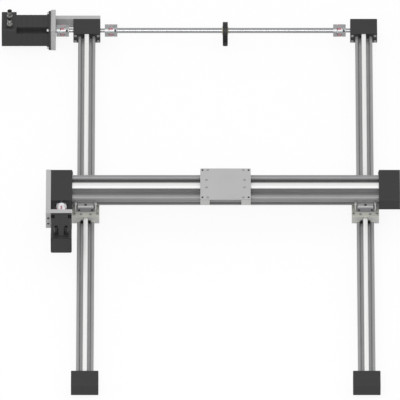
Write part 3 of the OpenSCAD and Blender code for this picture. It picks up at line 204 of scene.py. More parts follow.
# %% [markdown]
# ## Plates and brackets
# The carriage plates, clamps and motor brackets are milled aluminium plate with a matt anodised
# skin, paler than the rails. The lower carriages are slightly greenish, as some alloys turn in
# the bath. The blocks between them and the cross rail are plain milled metal, duller.

# %% Milled plate
# Matt anodising on milled plate: pale and even, without a clear highlight
milled_plate = lined_metal("milled anodised plate", "#b7b7b7", roughness=0.5,
                           across_mm=1.6, along=X, metallic=0.3)
# The same on another alloy: a trace of green and yellow
carriage_plate = lined_metal("greenish anodised plate", "#c7c8bf", roughness=0.5,
                             across_mm=1.6, along=Y, metallic=0.3)

# %% [markdown]
# ## Threaded holes
# Four threaded holes in the corners of the tool plate take the tool, and each adapter block has
# two in its front. A thread is a row of sharp ridges that shade each other, so it reads nearly
# black next to pale metal. The holes are in the CAD already, and this shade is painted into the
# finish: its colour turns nearly black near their axes. Holes that mirror each other are found
# by folding space: subtract the middle, take the absolute value, and all of them lie on one
# spot, to which the distance is measured.

# %% A finish with painted shade in threaded holes
# The painted shade reaches a little past the thread of an M6 hole, and fades out over its last 0.2
# mm
THREAD_SHADE_REACH, THREAD_SHADE_FADE = 3.2 * MM, 0.2 * MM
THREAD_SHADE_BLACK = "#161617"


def with_painted_thread_shade(material, folds, plane):
    """Paints shade into a finish round bolt axes, which stand upright on a plane such as (1, 1,
    0).
    """
    tree = material.node_tree
    shader = tree.nodes["Principled BSDF"]
    spot = add(tree, "ShaderNodeTexCoord").outputs["Object"]
    for middle in folds:
        moved = add(tree, "ShaderNodeVectorMath", {"operation": "SUBTRACT"}, {
            0: spot, 1: middle})
        spot = add(tree, "ShaderNodeVectorMath", {"operation": "ABSOLUTE"}, {
            0: moved.outputs[0]}).outputs[0]
    flat = add(tree, "ShaderNodeVectorMath", {"operation": "MULTIPLY"}, {0: spot, 1: plane})
    distance = add(tree, "ShaderNodeVectorMath", {"operation": "LENGTH"}, {0: flat.outputs[0]})
    inside = add(tree, "ShaderNodeMapRange", inputs={
        "Value": distance.outputs["Value"], "From Min": THREAD_SHADE_REACH,
        "From Max": THREAD_SHADE_REACH - THREAD_SHADE_FADE})
    # Painted shade: the colour turns nearly black near each bolt axis
    skin = add(tree, "ShaderNodeMix", {"data_type": "RGBA"}, {
        "Factor": inside.outputs["Result"],
        6: shader.inputs["Base Color"].links[0].from_socket, 7: linear(THREAD_SHADE_BLACK)})
    tree.links.new(skin.outputs[2], shader.inputs["Base Color"])
    print(f"{material.name}: dark within {THREAD_SHADE_REACH / MM:.1f} mm of its bolt axes")
    return material


# %% [markdown]
# ## Plates with painted thread shade
# The record of the frame says where the tool's bolts are. The adapters' holes lie at half of
# their height, 18.5 mm to either side of each rail's middle.

# %% Tool plate and adapters
tool_bolts = next(m for m in frame["record"]["mounts"] if m["name"] == "tool_bolts")
half_spacing = [tool_bolts["dims"][f"spacing_{axis}_mm"] * MM / 2 for axis in "xy"] + [0]
# The milled plate again, with painted shade in the threaded holes in its corners
tapped_plate = with_painted_thread_shade(
    lined_metal("milled plate with painted thread shade", "#b7b7b7", roughness=0.5, across_mm=1.6, along=X,
                metallic=0.3),
    folds=[tool_bolts["pos_m"], half_spacing], plane=(1, 1, 0))
# Bare milled aluminium: darker than the plates and a little more of a mirror, with painted shade
# in its front holes
ADAPTER_HOLE_X = 18.5 * MM
adapter_middle = sum((Vector(corner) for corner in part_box("adapters")), Vector()) / 2
rail_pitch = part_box("right_rail")[0][X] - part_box("left_rail")[0][X]
dull_block = with_painted_thread_shade(
    lined_metal("plain milled block", "#86868a", roughness=0.5, across_mm=1.6, along=X,
                metallic=0.5),
    folds=[adapter_middle, (rail_pitch / 2, 0, 0), (ADAPTER_HOLE_X, 0, 0)], plane=(1, 0, 1))

# %% [markdown]
# ## Steel and nickel
# Shafts are ground and polished, screws are zinc plated or blackened, and bearing rings are
# hardened and ground. They differ in brightness and in how sharply they mirror the room.

# %% Steels
# Ground shaft: one clear bright line along it, and a smooth surface without any relief
polished_shaft = lined_metal("ground shaft steel", "#969798", roughness=0.28, across_mm=0.5,
                             along=X, depth=0.0)
# Drawn pins and screw heads that stand free: nearly white from above
bright_pin = lined_metal("bright drawn pin steel", "#c4c5c6", roughness=0.4, across_mm=0.5,
                         along=Z, depth=0.005, metallic=0.5)
# Zinc plating: a light grey that dulls in the sockets and counterbores
screw_steel = lined_metal("zinc plated steel", "#a0a1a2", roughness=0.35, across_mm=0.4,
                          along=Z, depth=0.01, edge_mm=0.2)
# Black oxide: dark grey with a soft steely shine
dark_steel = lined_metal("black oxide steel", "#6a6b6c", roughness=0.4, across_mm=0.4,
                         along=Z, depth=0.01, edge_mm=0.2)
# Ball bearing rings: the sharpest mirror on the machine, with fine turning lines
ring_steel = lined_metal("bearing ring steel", "#97989b", roughness=0.25, across_mm=0.4,
                         along=X, depth=0.01)

# %% [markdown]
# ## Turned aluminium
# Couplings and pulleys are turned from bar. The large couplings and the pulleys keep their
# bright tool marks. The small coupling of the cross axis sits in the shade of its bracket, and
# its finish has painted light: it is made almost white.

# %% Turned parts
# Turned and left bright: soft bands of light round the axis
turned_alu = lined_metal("turned aluminium", "#9d9e9f", roughness=0.36, across_mm=0.5,
                         along=Y, depth=0.015, metallic=0.8)
# Painted light: turned aluminium made almost white and without a highlight, to lift the shade of
# the bracket round the small coupling
painted_light_alu = lined_metal("aluminium with painted light", "#eaeaec", roughness=0.5, across_mm=0.5,
                          along=X, depth=0.015, metallic=0.3)

# %% [markdown]
# ## Black coats
# End blocks and motors are black, yet in a bright room a black coat never looks black: its
# sheen lifts it to a dark grey. The blocks are blasted and anodised, so their grain is fine
# and dry. The motors are lacquered and a little smoother.

# %% Black blocks and motors
# Black anodising over blasting: a dry dark grey that hides the edges
black_block = grained("blasted black anodising", "#2c2c2d", roughness=0.55, grain_mm=0.6,
                      depth=0.03, sheen_level=0.35)
# Lacquer on die-cast motor housings: as dark, with a softer, wider shine
motor_lacquer = grained("black motor lacquer", "#2b2b2c", roughness=0.42, grain_mm=1.2,
                        depth=0.03, sheen_level=0.35)
# Moulded polyamide: slightly darker and dull
black_plastic = grained("moulded black plastic", "#222223", roughness=0.5, grain_mm=0.8,
                        sheen_level=0.35)

# %% [markdown]
# ## Castings and small plastics
# The bearing housings are pressure die-cast zinc with a matt skin. Their liners, the bush of
# the middle bearing and the coupling spiders are plastics, coloured by what they are made of.

# %% Zinc, liners, bush and spiders
# Die-cast zinc, chromated: pale, faintly yellow, with a soft casting skin
cast_zinc = grained("die-cast zinc", "#bfc0bd", roughness=0.5, grain_mm=1.0, metallic=0.3)
# Sliding plastic of the liners: cream, dull
liner_plastic = grained("sliding liner plastic", "#e0dfd2", roughness=0.5, grain_mm=0.7)
# Self-lubricating bush: pale yellow, a little waxy
bush_plastic = grained("yellow bearing plastic", "#e6e0b0", roughness=0.45, grain_mm=0.7)
# Polyurethane spiders: a cloudy light red with a moulded shine
red_spider = grained("red polyurethane", "#b4747f", roughness=0.35, grain_mm=1.5, depth=0.02)
# Rubber: nearly black and without shine, for the wiper-shaped pieces of painted shade
rubber = grained("black shade wiper rubber", "#171718", roughness=0.7, grain_mm=0.5,
                 sheen_level=0.3)

# %% [markdown]
# ## Connector shells
# The round connectors have a plated shell, bright on the large motor and black on the small
# one, and a black plastic ring closes its top. One material does both: plated metal below the
# ring's lower edge, and plastic above it. The height tells them apart, and each motor has its
# own.

# %% A shell in metal and plastic
SHELL_CAP, CAP_BLACK = 1.6 * MM, "#0c0c0d"


def socket_shell(name, colour, metallic, top_z):
    """A plated shell with its top at height top_z, and a cap of black plastic on it."""
    material = grained(name, colour, roughness=0.35, grain_mm=1.0, depth=0.01, edge_mm=0.3,
                       metallic=metallic)
    tree = material.node_tree
    shader = tree.nodes["Principled BSDF"]
    height = add(tree, "ShaderNodeSeparateXYZ", inputs={
        0: add(tree, "ShaderNodeTexCoord").outputs["Object"]})
    above = add(tree, "ShaderNodeMath", {"operation": "GREATER_THAN"}, {
        0: height.outputs["Z"], 1: top_z - SHELL_CAP})
    skin = add(tree, "ShaderNodeMix", {"data_type": "RGBA"}, {
        "Factor": above.outputs[0], 6: shader.inputs["Base Color"].links[0].from_socket,
        7: linear(CAP_BLACK)})
    sheen = add(tree, "ShaderNodeMath", {"operation": "MULTIPLY_ADD"}, {
        0: above.outputs[0], 1: -metallic, 2: metallic})
    tree.links.new(skin.outputs[2], shader.inputs["Base Color"])
    tree.links.new(sheen.outputs[0], shader.inputs["Metallic"])
    print(f"{name}: black above {(top_z - SHELL_CAP) / MM:.1f} mm")
    return material


# Nickel plating on brass: silvery, slightly warm
drive_shell = socket_shell("nickel plated shell", "#b4b4b1", metallic=0.8,
                           top_z=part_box("drive_motor_connectors")[1][Z])
# Black plating: dark, with a metallic edge of light
cross_shell = socket_shell("black plated shell", "#2a2a2c", metallic=0.4,
                           top_z=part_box("cross_motor_connectors")[1][Z])

# %% [markdown]
# ## Who wears what
# Each node of the CAD frame gets its finish here. A node keeps its mesh and place. Only the
# material in its slot changes.

# %% Dress the frame
wardrobe = {
    lower_rail_skin: ["left_rail", "right_rail"],
    cross_rail_skin: ["cross_rail"],
    black_block: ["left_drive_block", "right_drive_block", "left_idler_block",
                  "right_idler_block", "cross_drive_block", "cross_idler_block"],
    motor_lacquer: ["drive_motor_flange", "drive_motor_body", "drive_motor_rear",
                    "cross_motor_front", "cross_motor_body"],
    black_plastic: ["pedestal_bearing"],
    bush_plastic: ["pedestal_bush"],
    milled_plate: ["motor_flange_plate", "motor_arm_plate", "cross_side_plate",
                   "cross_flange_plate", "rail_clamps", "lower_belt_clamps",
                   "tool_belt_clamp"],
    tapped_plate: ["tool_plate"],
    carriage_plate: ["lower_carriage_plates"],
    dull_block: ["adapters"],
    cast_zinc: ["lower_carriage_housings", "tool_housings"],
    liner_plastic: ["lower_carriage_liners", "tool_liners"],
    polished_shaft: ["drive_shaft", "pulley_shafts", "drive_motor_shaft", "cross_motor_shaft",
                     "cross_pulley_shaft", "idler_axles", "cross_idler_axle"],
    ring_steel: ["drive_bearings", "cross_bearings"],
    screw_steel: ["coupling_screws", "block_screws", "tool_screws", "lower_carriage_screws"],
    bright_pin: ["levelling_screws", "drive_motor_screws"],
    dark_steel: ["cross_axis_screws"],
    drive_shell: ["drive_motor_connectors"],
    cross_shell: ["cross_motor_connectors"],
    painted_light_alu: ["cross_coupling_hubs"],
    turned_alu: ["coupling_hubs", "drive_pulleys", "left_idler_pulley",
                 "right_idler_pulley", "cross_drive_pulley", "cross_idler_pulley"],
    red_spider: ["coupling_spiders", "cross_coupling_spider"],
}
dressed = set()
for material, names in wardrobe.items():
    for name in names:
        mesh = frame["nodes"][name].data
        mesh.materials.clear()
        mesh.materials.append(material)
        dressed.add(name)
print("dressed", len(dressed), "nodes; left for later:", sorted(set(frame["nodes"]) - dressed))

# %% [markdown]
# ## The belt's own material
# Timing belts of this kind are white polyurethane over steel cords. The belt is moulded, and a
# faint line runs along the middle of its back. The belt bends round pulleys, so the line
# cannot follow the object's axes. It reads a map that the belt carries, whose first number
# runs from one edge of the belt to the other. Moulded polyurethane is satin white, and its
# grain of about 0.2 mm is drawn 0.8 mm coarse.

# %% White polyurethane
# How far the line reaches from the middle, and where it has faded, in shares of the belt's width
SEAM_CORE, SEAM_END = 0.02, 0.07
# White moulded polyurethane: satin, with a slightly greyer line along its back
white_belt = bpy.data.materials.new("white polyurethane belt")
white_belt.use_nodes = True
tree = white_belt.node_tree
shader = tree.nodes["Principled BSDF"]
shader.inputs["Roughness"].default_value = 0.5
across = add(tree, "ShaderNodeAttribute", {"attribute_name": "belt_map"})
split = add(tree, "ShaderNodeSeparateXYZ", inputs={0: across.outputs["Vector"]})
from_middle = add(tree, "ShaderNodeMath", {"operation": "SUBTRACT"}, {
    0: split.outputs["X"], 1: 0.5})
off_middle = add(tree, "ShaderNodeMath", {"operation": "ABSOLUTE"}, {
    0: from_middle.outputs[0]})
beside = add(tree, "ShaderNodeMapRange", inputs={
    "Value": off_middle.outputs[0], "From Min": SEAM_CORE, "From Max": SEAM_END})
skin = add(tree, "ShaderNodeMix", {"data_type": "RGBA"}, {
    "Factor": beside.outputs["Result"], 6: linear("#dededd"), 7: linear("#f6f6f5")})
tree.links.new(skin.outputs[2], shader.inputs["Base Color"])
moulding = add(tree, "ShaderNodeTexNoise", inputs={
    "Vector": add(tree, "ShaderNodeTexCoord").outputs["Object"], "Scale": 1 / (0.8 * MM)})
moulded = add(tree, "ShaderNodeBump", inputs={
    "Height": moulding.outputs["Fac"], "Distance": 0.03 * MM, "Strength": 0.4})
tree.links.new(moulded.outputs["Normal"], shader.inputs["Normal"])
print(white_belt.name, "with", len(tree.nodes), "nodes")

# %% [markdown]
# ## Trees with named inputs
# Belts, wipers and connector inserts all repeat, so Geometry Nodes make them. Each tree gets its
# sizes as named inputs, so that one tree serves several places. This helper starts a tree.

# %% A new tree with its inputs
def new_tree(name, sizes, counts=(), materials=()):
    """A tree with named inputs and one result, and its inputs' sockets to link from."""
    tree = bpy.data.node_groups.new(name, "GeometryNodeTree")
    for kind, names in (("NodeSocketFloat", sizes), ("NodeSocketInt", counts),
                        ("NodeSocketMaterial", materials)):
        for label in names:
            tree.interface.new_socket(label, in_out="INPUT", socket_type=kind)
    tree.interface.new_socket("Geometry", in_out="OUTPUT", socket_type="NodeSocketGeometry")
    print(name, "takes", len(tree.interface.items_tree) - 1, "inputs")
    return tree, add(tree, "NodeGroupInput").outputs


# %% [markdown]
# ## Toothed belts
# A timing belt is a flat band with a tooth every 5 mm on its inner side. One tooth could be
# copied by hand along the straight runs, but it also has to turn round the pulleys. Geometry
# Nodes do both: a circle is pulled apart into a loop with straight runs, a rectangle is swept
# along it for the band, and one tooth is set on the loop as many times as the belt has teeth.
# The number of teeth, and not their spacing, is the input, because a belt has whole teeth.
# The loop comes first.

# %% A loop with two straight runs
# An even number that 4 doesn't divide: each half gets as many points, and none lies between them
LOOP_POINTS = 98


def belt_loop(tree, radius, half_span):
    """A circle whose halves are moved apart by half_span, as a curve in the XY plane."""
    circle = add(tree, "GeometryNodeCurvePrimitiveCircle", inputs={
        "Resolution": LOOP_POINTS, "Radius": radius})
    place = add(tree, "GeometryNodeInputPosition")
    x = add(tree, "ShaderNodeSeparateXYZ", inputs={0: place.outputs[0]}).outputs["X"]
    side = add(tree, "ShaderNodeMath", {"operation": "SIGN"}, {0: x})
    move = add(tree, "ShaderNodeMath", {"operation": "MULTIPLY"}, {
        0: side.outputs[0], 1: half_span})
    offset = add(tree, "ShaderNodeCombineXYZ", inputs={"X": move.outputs[0]})
    return add(tree, "GeometryNodeSetPosition", inputs={
        "Geometry": circle.outputs["Curve"], "Offset": offset.outputs[0]}).outputs[0]


# %% [markdown]
# ## One tooth
# A tooth of this pitch is a low block, 2.7 mm long at its root and a third shorter at its tip.
# It starts as a unit cube. Its corners are pulled in towards the tip, and its root reaches a
# little into the band, so that no gap opens where the belt bends.

# %% A tooth that narrows to its tip
TOOTH_ROOT = 2.66 * MM
# Shares of the root's length that the tip keeps, and of the height that is sunk in the band
TIP_SHARE, SUNK_SHARE = 0.68, 0.05


def belt_tooth(tree, width, height):
    """A tooth whose length lies along X, whose height rises along Y and whose width is along Z."""
    block = add(tree, "GeometryNodeMeshCube", inputs={"Size": (1, 1, 1)})
    corner = add(tree, "ShaderNodeSeparateXYZ", inputs={
        0: add(tree, "GeometryNodeInputPosition").outputs[0]})
    along = add(tree, "ShaderNodeMapRange", inputs={
        "Value": corner.outputs["Y"], "From Min": -0.5, "From Max": 0.5,
        "To Min": TOOTH_ROOT, "To Max": TOOTH_ROOT * TIP_SHARE})
    length = add(tree, "ShaderNodeMath", {"operation": "MULTIPLY"}, {
        0: corner.outputs["X"], 1: along.outputs["Result"]})
    lifted = add(tree, "ShaderNodeMath", {"operation": "ADD"}, {
        0: corner.outputs["Y"], 1: 0.5 - SUNK_SHARE})
    rise = add(tree, "ShaderNodeMath", {"operation": "MULTIPLY"}, {
        0: lifted.outputs[0], 1: height})
    across = add(tree, "ShaderNodeMath", {"operation": "MULTIPLY"}, {
        0: corner.outputs["Z"], 1: width})
    shaped = add(tree, "ShaderNodeCombineXYZ", inputs={
        "X": length.outputs[0], "Y": rise.outputs[0], "Z": across.outputs[0]})
    return add(tree, "GeometryNodeSetPosition", inputs={
        "Geometry": block.outputs["Mesh"], "Position": shaped.outputs[0]}).outputs[0]


# %% [markdown]
# ## The map across a belt
# The belt's material needs to know how far a point is from the belt's edge. In the loop's own
# frame that is the height above its plane, so it is stored on the mesh before the belt is
# turned into its place.

# %% A map from edge to edge
def with_belt_map(tree, geometry, width):
    """Stores belt_map on the geometry: its X is 0 at one edge of the belt and 1 at the other."""
    height = add(tree, "ShaderNodeSeparateXYZ", inputs={
        0: add(tree, "GeometryNodeInputPosition").outputs[0]}).outputs["Z"]
    share = add(tree, "ShaderNodeMath", {"operation": "DIVIDE"}, {0: height, 1: width})
    centred = add(tree, "ShaderNodeMath", {"operation": "ADD"}, {0: share.outputs[0], 1: 0.5})
    across = add(tree, "ShaderNodeCombineXYZ", inputs={"X": centred.outputs[0]})
    return add(tree, "GeometryNodeStoreNamedAttribute", {
        "data_type": "FLOAT_VECTOR", "domain": "CORNER"}, {
        "Geometry": geometry, "Name": "belt_map", "Value": across.outputs[0]}).outputs[0]


# %% [markdown]
# ## The belt tree
# Band and teeth come together here. The band's middle lies half its thickness outside the
# loop that the teeth stand on, and each tooth is turned to the run of the belt.

# %% Band and teeth in one tree
def build_belt_tree():
    """A tree that makes a whole belt with its map and its material."""
    tree, size = new_tree("toothed belt", ("Half Span", "Inner Radius", "Band", "Width",
                                           "Tooth Height"), ("Teeth",), ("Material",))
    half_band = add(tree, "ShaderNodeMath", {"operation": "MULTIPLY"}, {
        0: size["Band"], 1: 0.5})
    middle = add(tree, "ShaderNodeMath", {"operation": "ADD"}, {
        0: size["Inner Radius"], 1: half_band.outputs[0]})
    outline = add(tree, "GeometryNodeCurvePrimitiveQuadrilateral", inputs={
        "Width": size["Band"], "Height": size["Width"]})
    band = add(tree, "GeometryNodeCurveToMesh", inputs={
        "Curve": belt_loop(tree, middle.outputs[0], size["Half Span"]),
        "Profile Curve": outline.outputs["Curve"]})
    seats = add(tree, "GeometryNodeCurveToPoints", {"mode": "COUNT"}, {
        "Curve": belt_loop(tree, size["Inner Radius"], size["Half Span"]),
        "Count": size["Teeth"]})
    turned = add(tree, "FunctionNodeAlignRotationToVector", {"axis": "X", "pivot_axis": "Z"}, {
        "Vector": seats.outputs["Tangent"]})
    teeth = add(tree, "GeometryNodeInstanceOnPoints", inputs={
        "Points": seats.outputs["Points"], "Rotation": turned.outputs[0],
        "Instance": belt_tooth(tree, size["Width"], size["Tooth Height"])})
    both = add(tree, "GeometryNodeJoinGeometry")
    tree.links.new(band.outputs[0], both.inputs[0])
    tree.links.new(teeth.outputs[0], both.inputs[0])
    real = add(tree, "GeometryNodeRealizeInstances", inputs={0: both.outputs[0]})
    coloured = add(tree, "GeometryNodeSetMaterial", inputs={
        "Geometry": with_belt_map(tree, real.outputs[0], size["Width"]),
        "Material": size["Material"]})
    add(tree, "NodeGroupOutput", inputs={0: coloured.outputs[0]})
    return tree


# %% [markdown]
# ## From a tree to a piece
# A modifier's inputs are set by the identifier of each socket. The evaluated result becomes a
# plain mesh, is turned into its place, and the modifier goes. After this the piece is an
# ordinary object at the origin, as each CAD node is.

# %% Bake a tree into a mesh
def in_scene(name, data):
    """A new object of the scene with this data."""
    thing = bpy.data.objects.new(name, data)
    bpy.context.scene.collection.objects.link(thing)
    return thing


def bake(name, tree, values, place):
    """The tree's result with these values on its inputs, turned to its place by a matrix."""
    host = in_scene(name + " host", bpy.data.meshes.new(name + " host"))
    modifier = host.modifiers.new(tree.name, "NODES")
    modifier.node_group = tree
    for item in tree.interface.items_tree:
        if item.in_out == "INPUT" and item.name in values:
            modifier[item.identifier] = values[item.name]
    bpy.context.view_layer.update()
    graph = bpy.context.evaluated_depsgraph_get()
    mesh = bpy.data.meshes.new_from_object(host.evaluated_get(graph), depsgraph=graph)
    mesh.name = name
    mesh.transform(place)
    bpy.data.objects.remove(host)
    print(name, len(mesh.polygons), "faces")
    return in_scene(name, mesh)


# %% [markdown]
# ## Three belts
# The loops lie in a belt's own plane. The lower belts stand upright along Y and the cross belt
# upright along X. Every size comes from the box of the CAD belt that the piece stands for.

# %% Belts in their places
# Thickness of the band, and height of the teeth on it
BAND, TOOTH = 1.3 * MM, 1.2 * MM
belt_tree = build_belt_tree()
along_y = Matrix(((0, 0, 1), (1, 0, 0), (0, 1, 0))).to_4x4()
along_x = Matrix(((1, 0, 0), (0, 0, -1), (0, 1, 0))).to_4x4()
for node, body, turn, teeth in (("left_belt", "base", along_y, 588),
                                ("right_belt", "base", along_y, 588),
                                ("cross_belt", "cross_axis", along_x, 396)):
    low, high = (Vector(corner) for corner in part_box(node))
    run, wide = (Y, X) if turn is along_y else (X, Y)
    outer = (high.z - low.z) / 2
    piece = bake(node + "_toothed", belt_tree, {
        "Half Span": (high[run] - low[run]) / 2 - outer, "Inner Radius": outer - BAND,
        "Band": BAND, "Width": high[wide] - low[wide], "Tooth Height": TOOTH,
        "Teeth": teeth, "Material": white_belt}, Matrix.Translation((low + high) / 2) @ turn)
    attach(piece, body)
    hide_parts(node)

# %% [markdown]
# ## Wipers as painted shade
# Each end of a lower carriage gets a black piece shaped like a rubber wiper on both sides of
# the belt. These pieces are painted shade: they stand where the gap under the carriage falls
# dark. A wiper is a rounded holder with a thinner lip that stands out of it. Both are a rounded
# rectangle swept along a short line, with closed ends.

# %% One wiper
WIPER_ROUNDING = 1.2 * MM
# Holder and lip, each as its shares of the wiper's section and of its length
HOLDER, LIP = (1.0, 0.5), (0.72, 1.0)


def wiper(tree, size):
    """A holder of half the length, and a narrower lip of the whole length."""
    pair = add(tree, "GeometryNodeJoinGeometry")
    for section, reach in (HOLDER, LIP):
        width, height, end, start = [
            add(tree, "ShaderNodeMath", {"operation": "MULTIPLY"}, {
                0: size[side], 1: share}).outputs[0]
            for side, share in (("Width", section), ("Height", section),
                                ("Length", reach / 2), ("Length", -reach / 2))]
        outline = add(tree, "GeometryNodeCurvePrimitiveQuadrilateral", inputs={
            "Width": width, "Height": height})
        rounded = add(tree, "GeometryNodeFilletCurve", {"mode": "POLY"}, {
            "Curve": outline.outputs["Curve"], "Radius": WIPER_ROUNDING, "Count": 4})
        front = add(tree, "ShaderNodeCombineXYZ", inputs={"Y": start})
        rear = add(tree, "ShaderNodeCombineXYZ", inputs={"Y": end})
        line = add(tree, "GeometryNodeCurvePrimitiveLine", inputs={
            "Start": front.outputs[0], "End": rear.outputs[0]})
        swept = add(tree, "GeometryNodeCurveToMesh", inputs={
            "Curve": line.outputs["Curve"], "Profile Curve": rounded.outputs["Curve"],
            "Fill Caps": True})
        tree.links.new(swept.outputs[0], pair.inputs[0])
    return pair.outputs[0]


# %% [markdown]
# ## Eight wipers
# A grid of two by two points sets four wipers at the ends of one carriage, and a line of two
# points sets that group on both rails.

# %% The wiper tree
def build_shade_wiper_tree():
    """A tree that makes all the wipers of both lower carriages."""
    tree, size = new_tree("wipers", ("Pitch Across", "Pitch Along", "Rail Pitch", "Width",
                                     "Length", "Height"), materials=("Material",))
    corners = add(tree, "GeometryNodeMeshGrid", inputs={
        "Size X": size["Pitch Across"], "Size Y": size["Pitch Along"],
        "Vertices X": 2, "Vertices Y": 2})
    carriage = add(tree, "GeometryNodeInstanceOnPoints", inputs={
        "Points": corners.outputs["Mesh"], "Instance": wiper(tree, size)})
    half = add(tree, "ShaderNodeMath", {"operation": "MULTIPLY"}, {0: size["Rail Pitch"], 1: -0.5})
    first = add(tree, "ShaderNodeCombineXYZ", inputs={"X": half.outputs[0]})
    step = add(tree, "ShaderNodeCombineXYZ", inputs={"X": size["Rail Pitch"]})
    rails = add(tree, "GeometryNodeMeshLine", inputs={
        "Count": 2, "Start Location": first.outputs[0], "Offset": step.outputs[0]})
    both = add(tree, "GeometryNodeInstanceOnPoints", inputs={
        "Points": rails.outputs["Mesh"], "Instance": carriage.outputs["Instances"]})
    real = add(tree, "GeometryNodeRealizeInstances", inputs={0: both.outputs["Instances"]})
    coloured = add(tree, "GeometryNodeSetMaterial", inputs={
        "Geometry": real.outputs[0], "Material": size["Material"]})
    add(tree, "NodeGroupOutput", inputs={0: coloured.outputs[0]})
    return tree


# %% [markdown]
# ## Wipers in their places
# The wipers stand just outside the ends of the bearing housings, between the belt and the two
# round edges of the rail.

# %% Wipers at the carriage ends
# Their own size, their distance across the belt and the height of their middle
WIPER_W, WIPER_L, WIPER_H = 7.2 * MM, 2.5 * MM, 11 * MM
WIPER_PITCH, WIPER_Z = 22.4 * MM, 23 * MM
low, high = (Vector(corner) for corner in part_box("lower_carriage_housings"))
middle = (low + high) / 2
middle.z = WIPER_Z
# Painted shade: black wiper-shaped pieces where the gap under each carriage falls dark
wipers = bake("belt_shade_wipers", build_shade_wiper_tree(), {
    "Pitch Across": WIPER_PITCH, "Pitch Along": high.y - low.y + WIPER_L,
    "Rail Pitch": rail_pitch, "Width": WIPER_W, "Length": WIPER_L, "Height": WIPER_H,
    "Material": rubber}, Matrix.Translation(middle))
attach(wipers, "cross_axis")

# %% [markdown]
# ## Connector inserts
# A round connector holds a black insert with pins: five on a circle and one in its middle. The
# two need finishes of their own, which the tree takes as inputs.

# %% Gold and black
# Gold plating on small contacts: a warm glint deep in the mouth
gold_pin = lined_metal("gold plated contact", "#7d6536", roughness=0.25, across_mm=0.3,
                       along=Z, depth=0.005, edge_mm=0.1)
# The insert's plastic: black and dull, darkened further as painted shade of the shell
insert_black = grained("connector insert plastic", "#101011", roughness=0.6, grain_mm=0.5,
                       sheen_level=0.25)

# %% [markdown]
# ## One insert
# The disc and one pin are made once. The pin is set on a circle's points and on one more point
# in the middle, and all pins are lifted until they stand on the disc.

# %% One insert with its pins
# Radius of the circle of pins, as a share of the mouth's
PIN_CIRCLE = 0.6


def insert_with_pins(tree, size):
    """A black disc round the origin with gold pins on top of it."""
    disc = add(tree, "GeometryNodeMeshCylinder", inputs={
        "Vertices": 48, "Radius": size["Mouth Radius"], "Depth": size["Thickness"]})
    black = add(tree, "GeometryNodeSetMaterial", inputs={
        "Geometry": disc.outputs["Mesh"], "Material": size["Insert"]})
    pin = add(tree, "GeometryNodeMeshCylinder", inputs={
        "Vertices": 16, "Radius": size["Pin Radius"], "Depth": size["Pin Height"]})
    gold = add(tree, "GeometryNodeSetMaterial", inputs={
        "Geometry": pin.outputs["Mesh"], "Material": size["Contact"]})
    ring_radius = add(tree, "ShaderNodeMath", {"operation": "MULTIPLY"}, {
        0: size["Mouth Radius"], 1: PIN_CIRCLE})
    ring = add(tree, "GeometryNodeMeshCircle", inputs={
        "Vertices": size["Pins"], "Radius": ring_radius.outputs[0]})
    centre = add(tree, "GeometryNodeMeshLine", inputs={"Count": 1})
    seats = add(tree, "GeometryNodeJoinGeometry")
    tree.links.new(ring.outputs["Mesh"], seats.inputs[0])
    tree.links.new(centre.outputs["Mesh"], seats.inputs[0])
    pins = add(tree, "GeometryNodeInstanceOnPoints", inputs={
        "Points": seats.outputs[0], "Instance": gold.outputs[0]})
    # Pins stand on the insert: up by half of both heights
    heights = add(tree, "ShaderNodeMath", {"operation": "ADD"}, {
        0: size["Thickness"], 1: size["Pin Height"]})
    rise = add(tree, "ShaderNodeMath", {"operation": "MULTIPLY"}, {0: heights.outputs[0], 1: 0.5})
    upward = add(tree, "ShaderNodeCombineXYZ", inputs={"Z": rise.outputs[0]})
    standing = add(tree, "GeometryNodeTransform", inputs={
        "Geometry": pins.outputs["Instances"], "Translation": upward.outputs[0]})
    whole = add(tree, "GeometryNodeJoinGeometry")
    tree.links.new(black.outputs[0], whole.inputs[0])
    tree.links.new(standing.outputs[0], whole.inputs[0])
    return whole.outputs[0]


# %% [markdown]
# ## Two inserts on a line
# Each motor has two connectors, side by side along X or along Y. The finished insert becomes
# one instance, and a line of two points sets it into both mouths.

# %% The insert tree
def build_insert_tree():
    """A tree that makes the two inserts of one motor."""
    tree, size = new_tree("connector inserts", (
        "Mouth Radius", "Thickness", "Pin Height", "Pin Radius", "Spread X", "Spread Y"),
        ("Pins",), ("Insert", "Contact"))
    whole = add(tree, "GeometryNodeGeometryToInstance", inputs={0: insert_with_pins(tree, size)})
    spread = add(tree, "ShaderNodeCombineXYZ", inputs={
        "X": size["Spread X"], "Y": size["Spread Y"]})
    back = add(tree, "ShaderNodeVectorMath", {"operation": "SCALE"}, {
        0: spread.outputs[0], "Scale": -0.5})
    mouths = add(tree, "GeometryNodeMeshLine", inputs={
        "Count": 2, "Start Location": back.outputs[0], "Offset": spread.outputs[0]})
    both = add(tree, "GeometryNodeInstanceOnPoints", inputs={
        "Points": mouths.outputs["Mesh"], "Instance": whole.outputs[0]})
    real = add(tree, "GeometryNodeRealizeInstances", inputs={0: both.outputs["Instances"]})
    add(tree, "NodeGroupOutput", inputs={0: real.outputs[0]})
    return tree


# %% [markdown]
# ## Inserts in the four mouths
# The shells' box tells how far apart a motor's connectors stand, and how high.

# %% Inserts in their shells
insert_tree = build_insert_tree()
SHELL_D, MOUTH_R = 15 * MM, 4.5 * MM
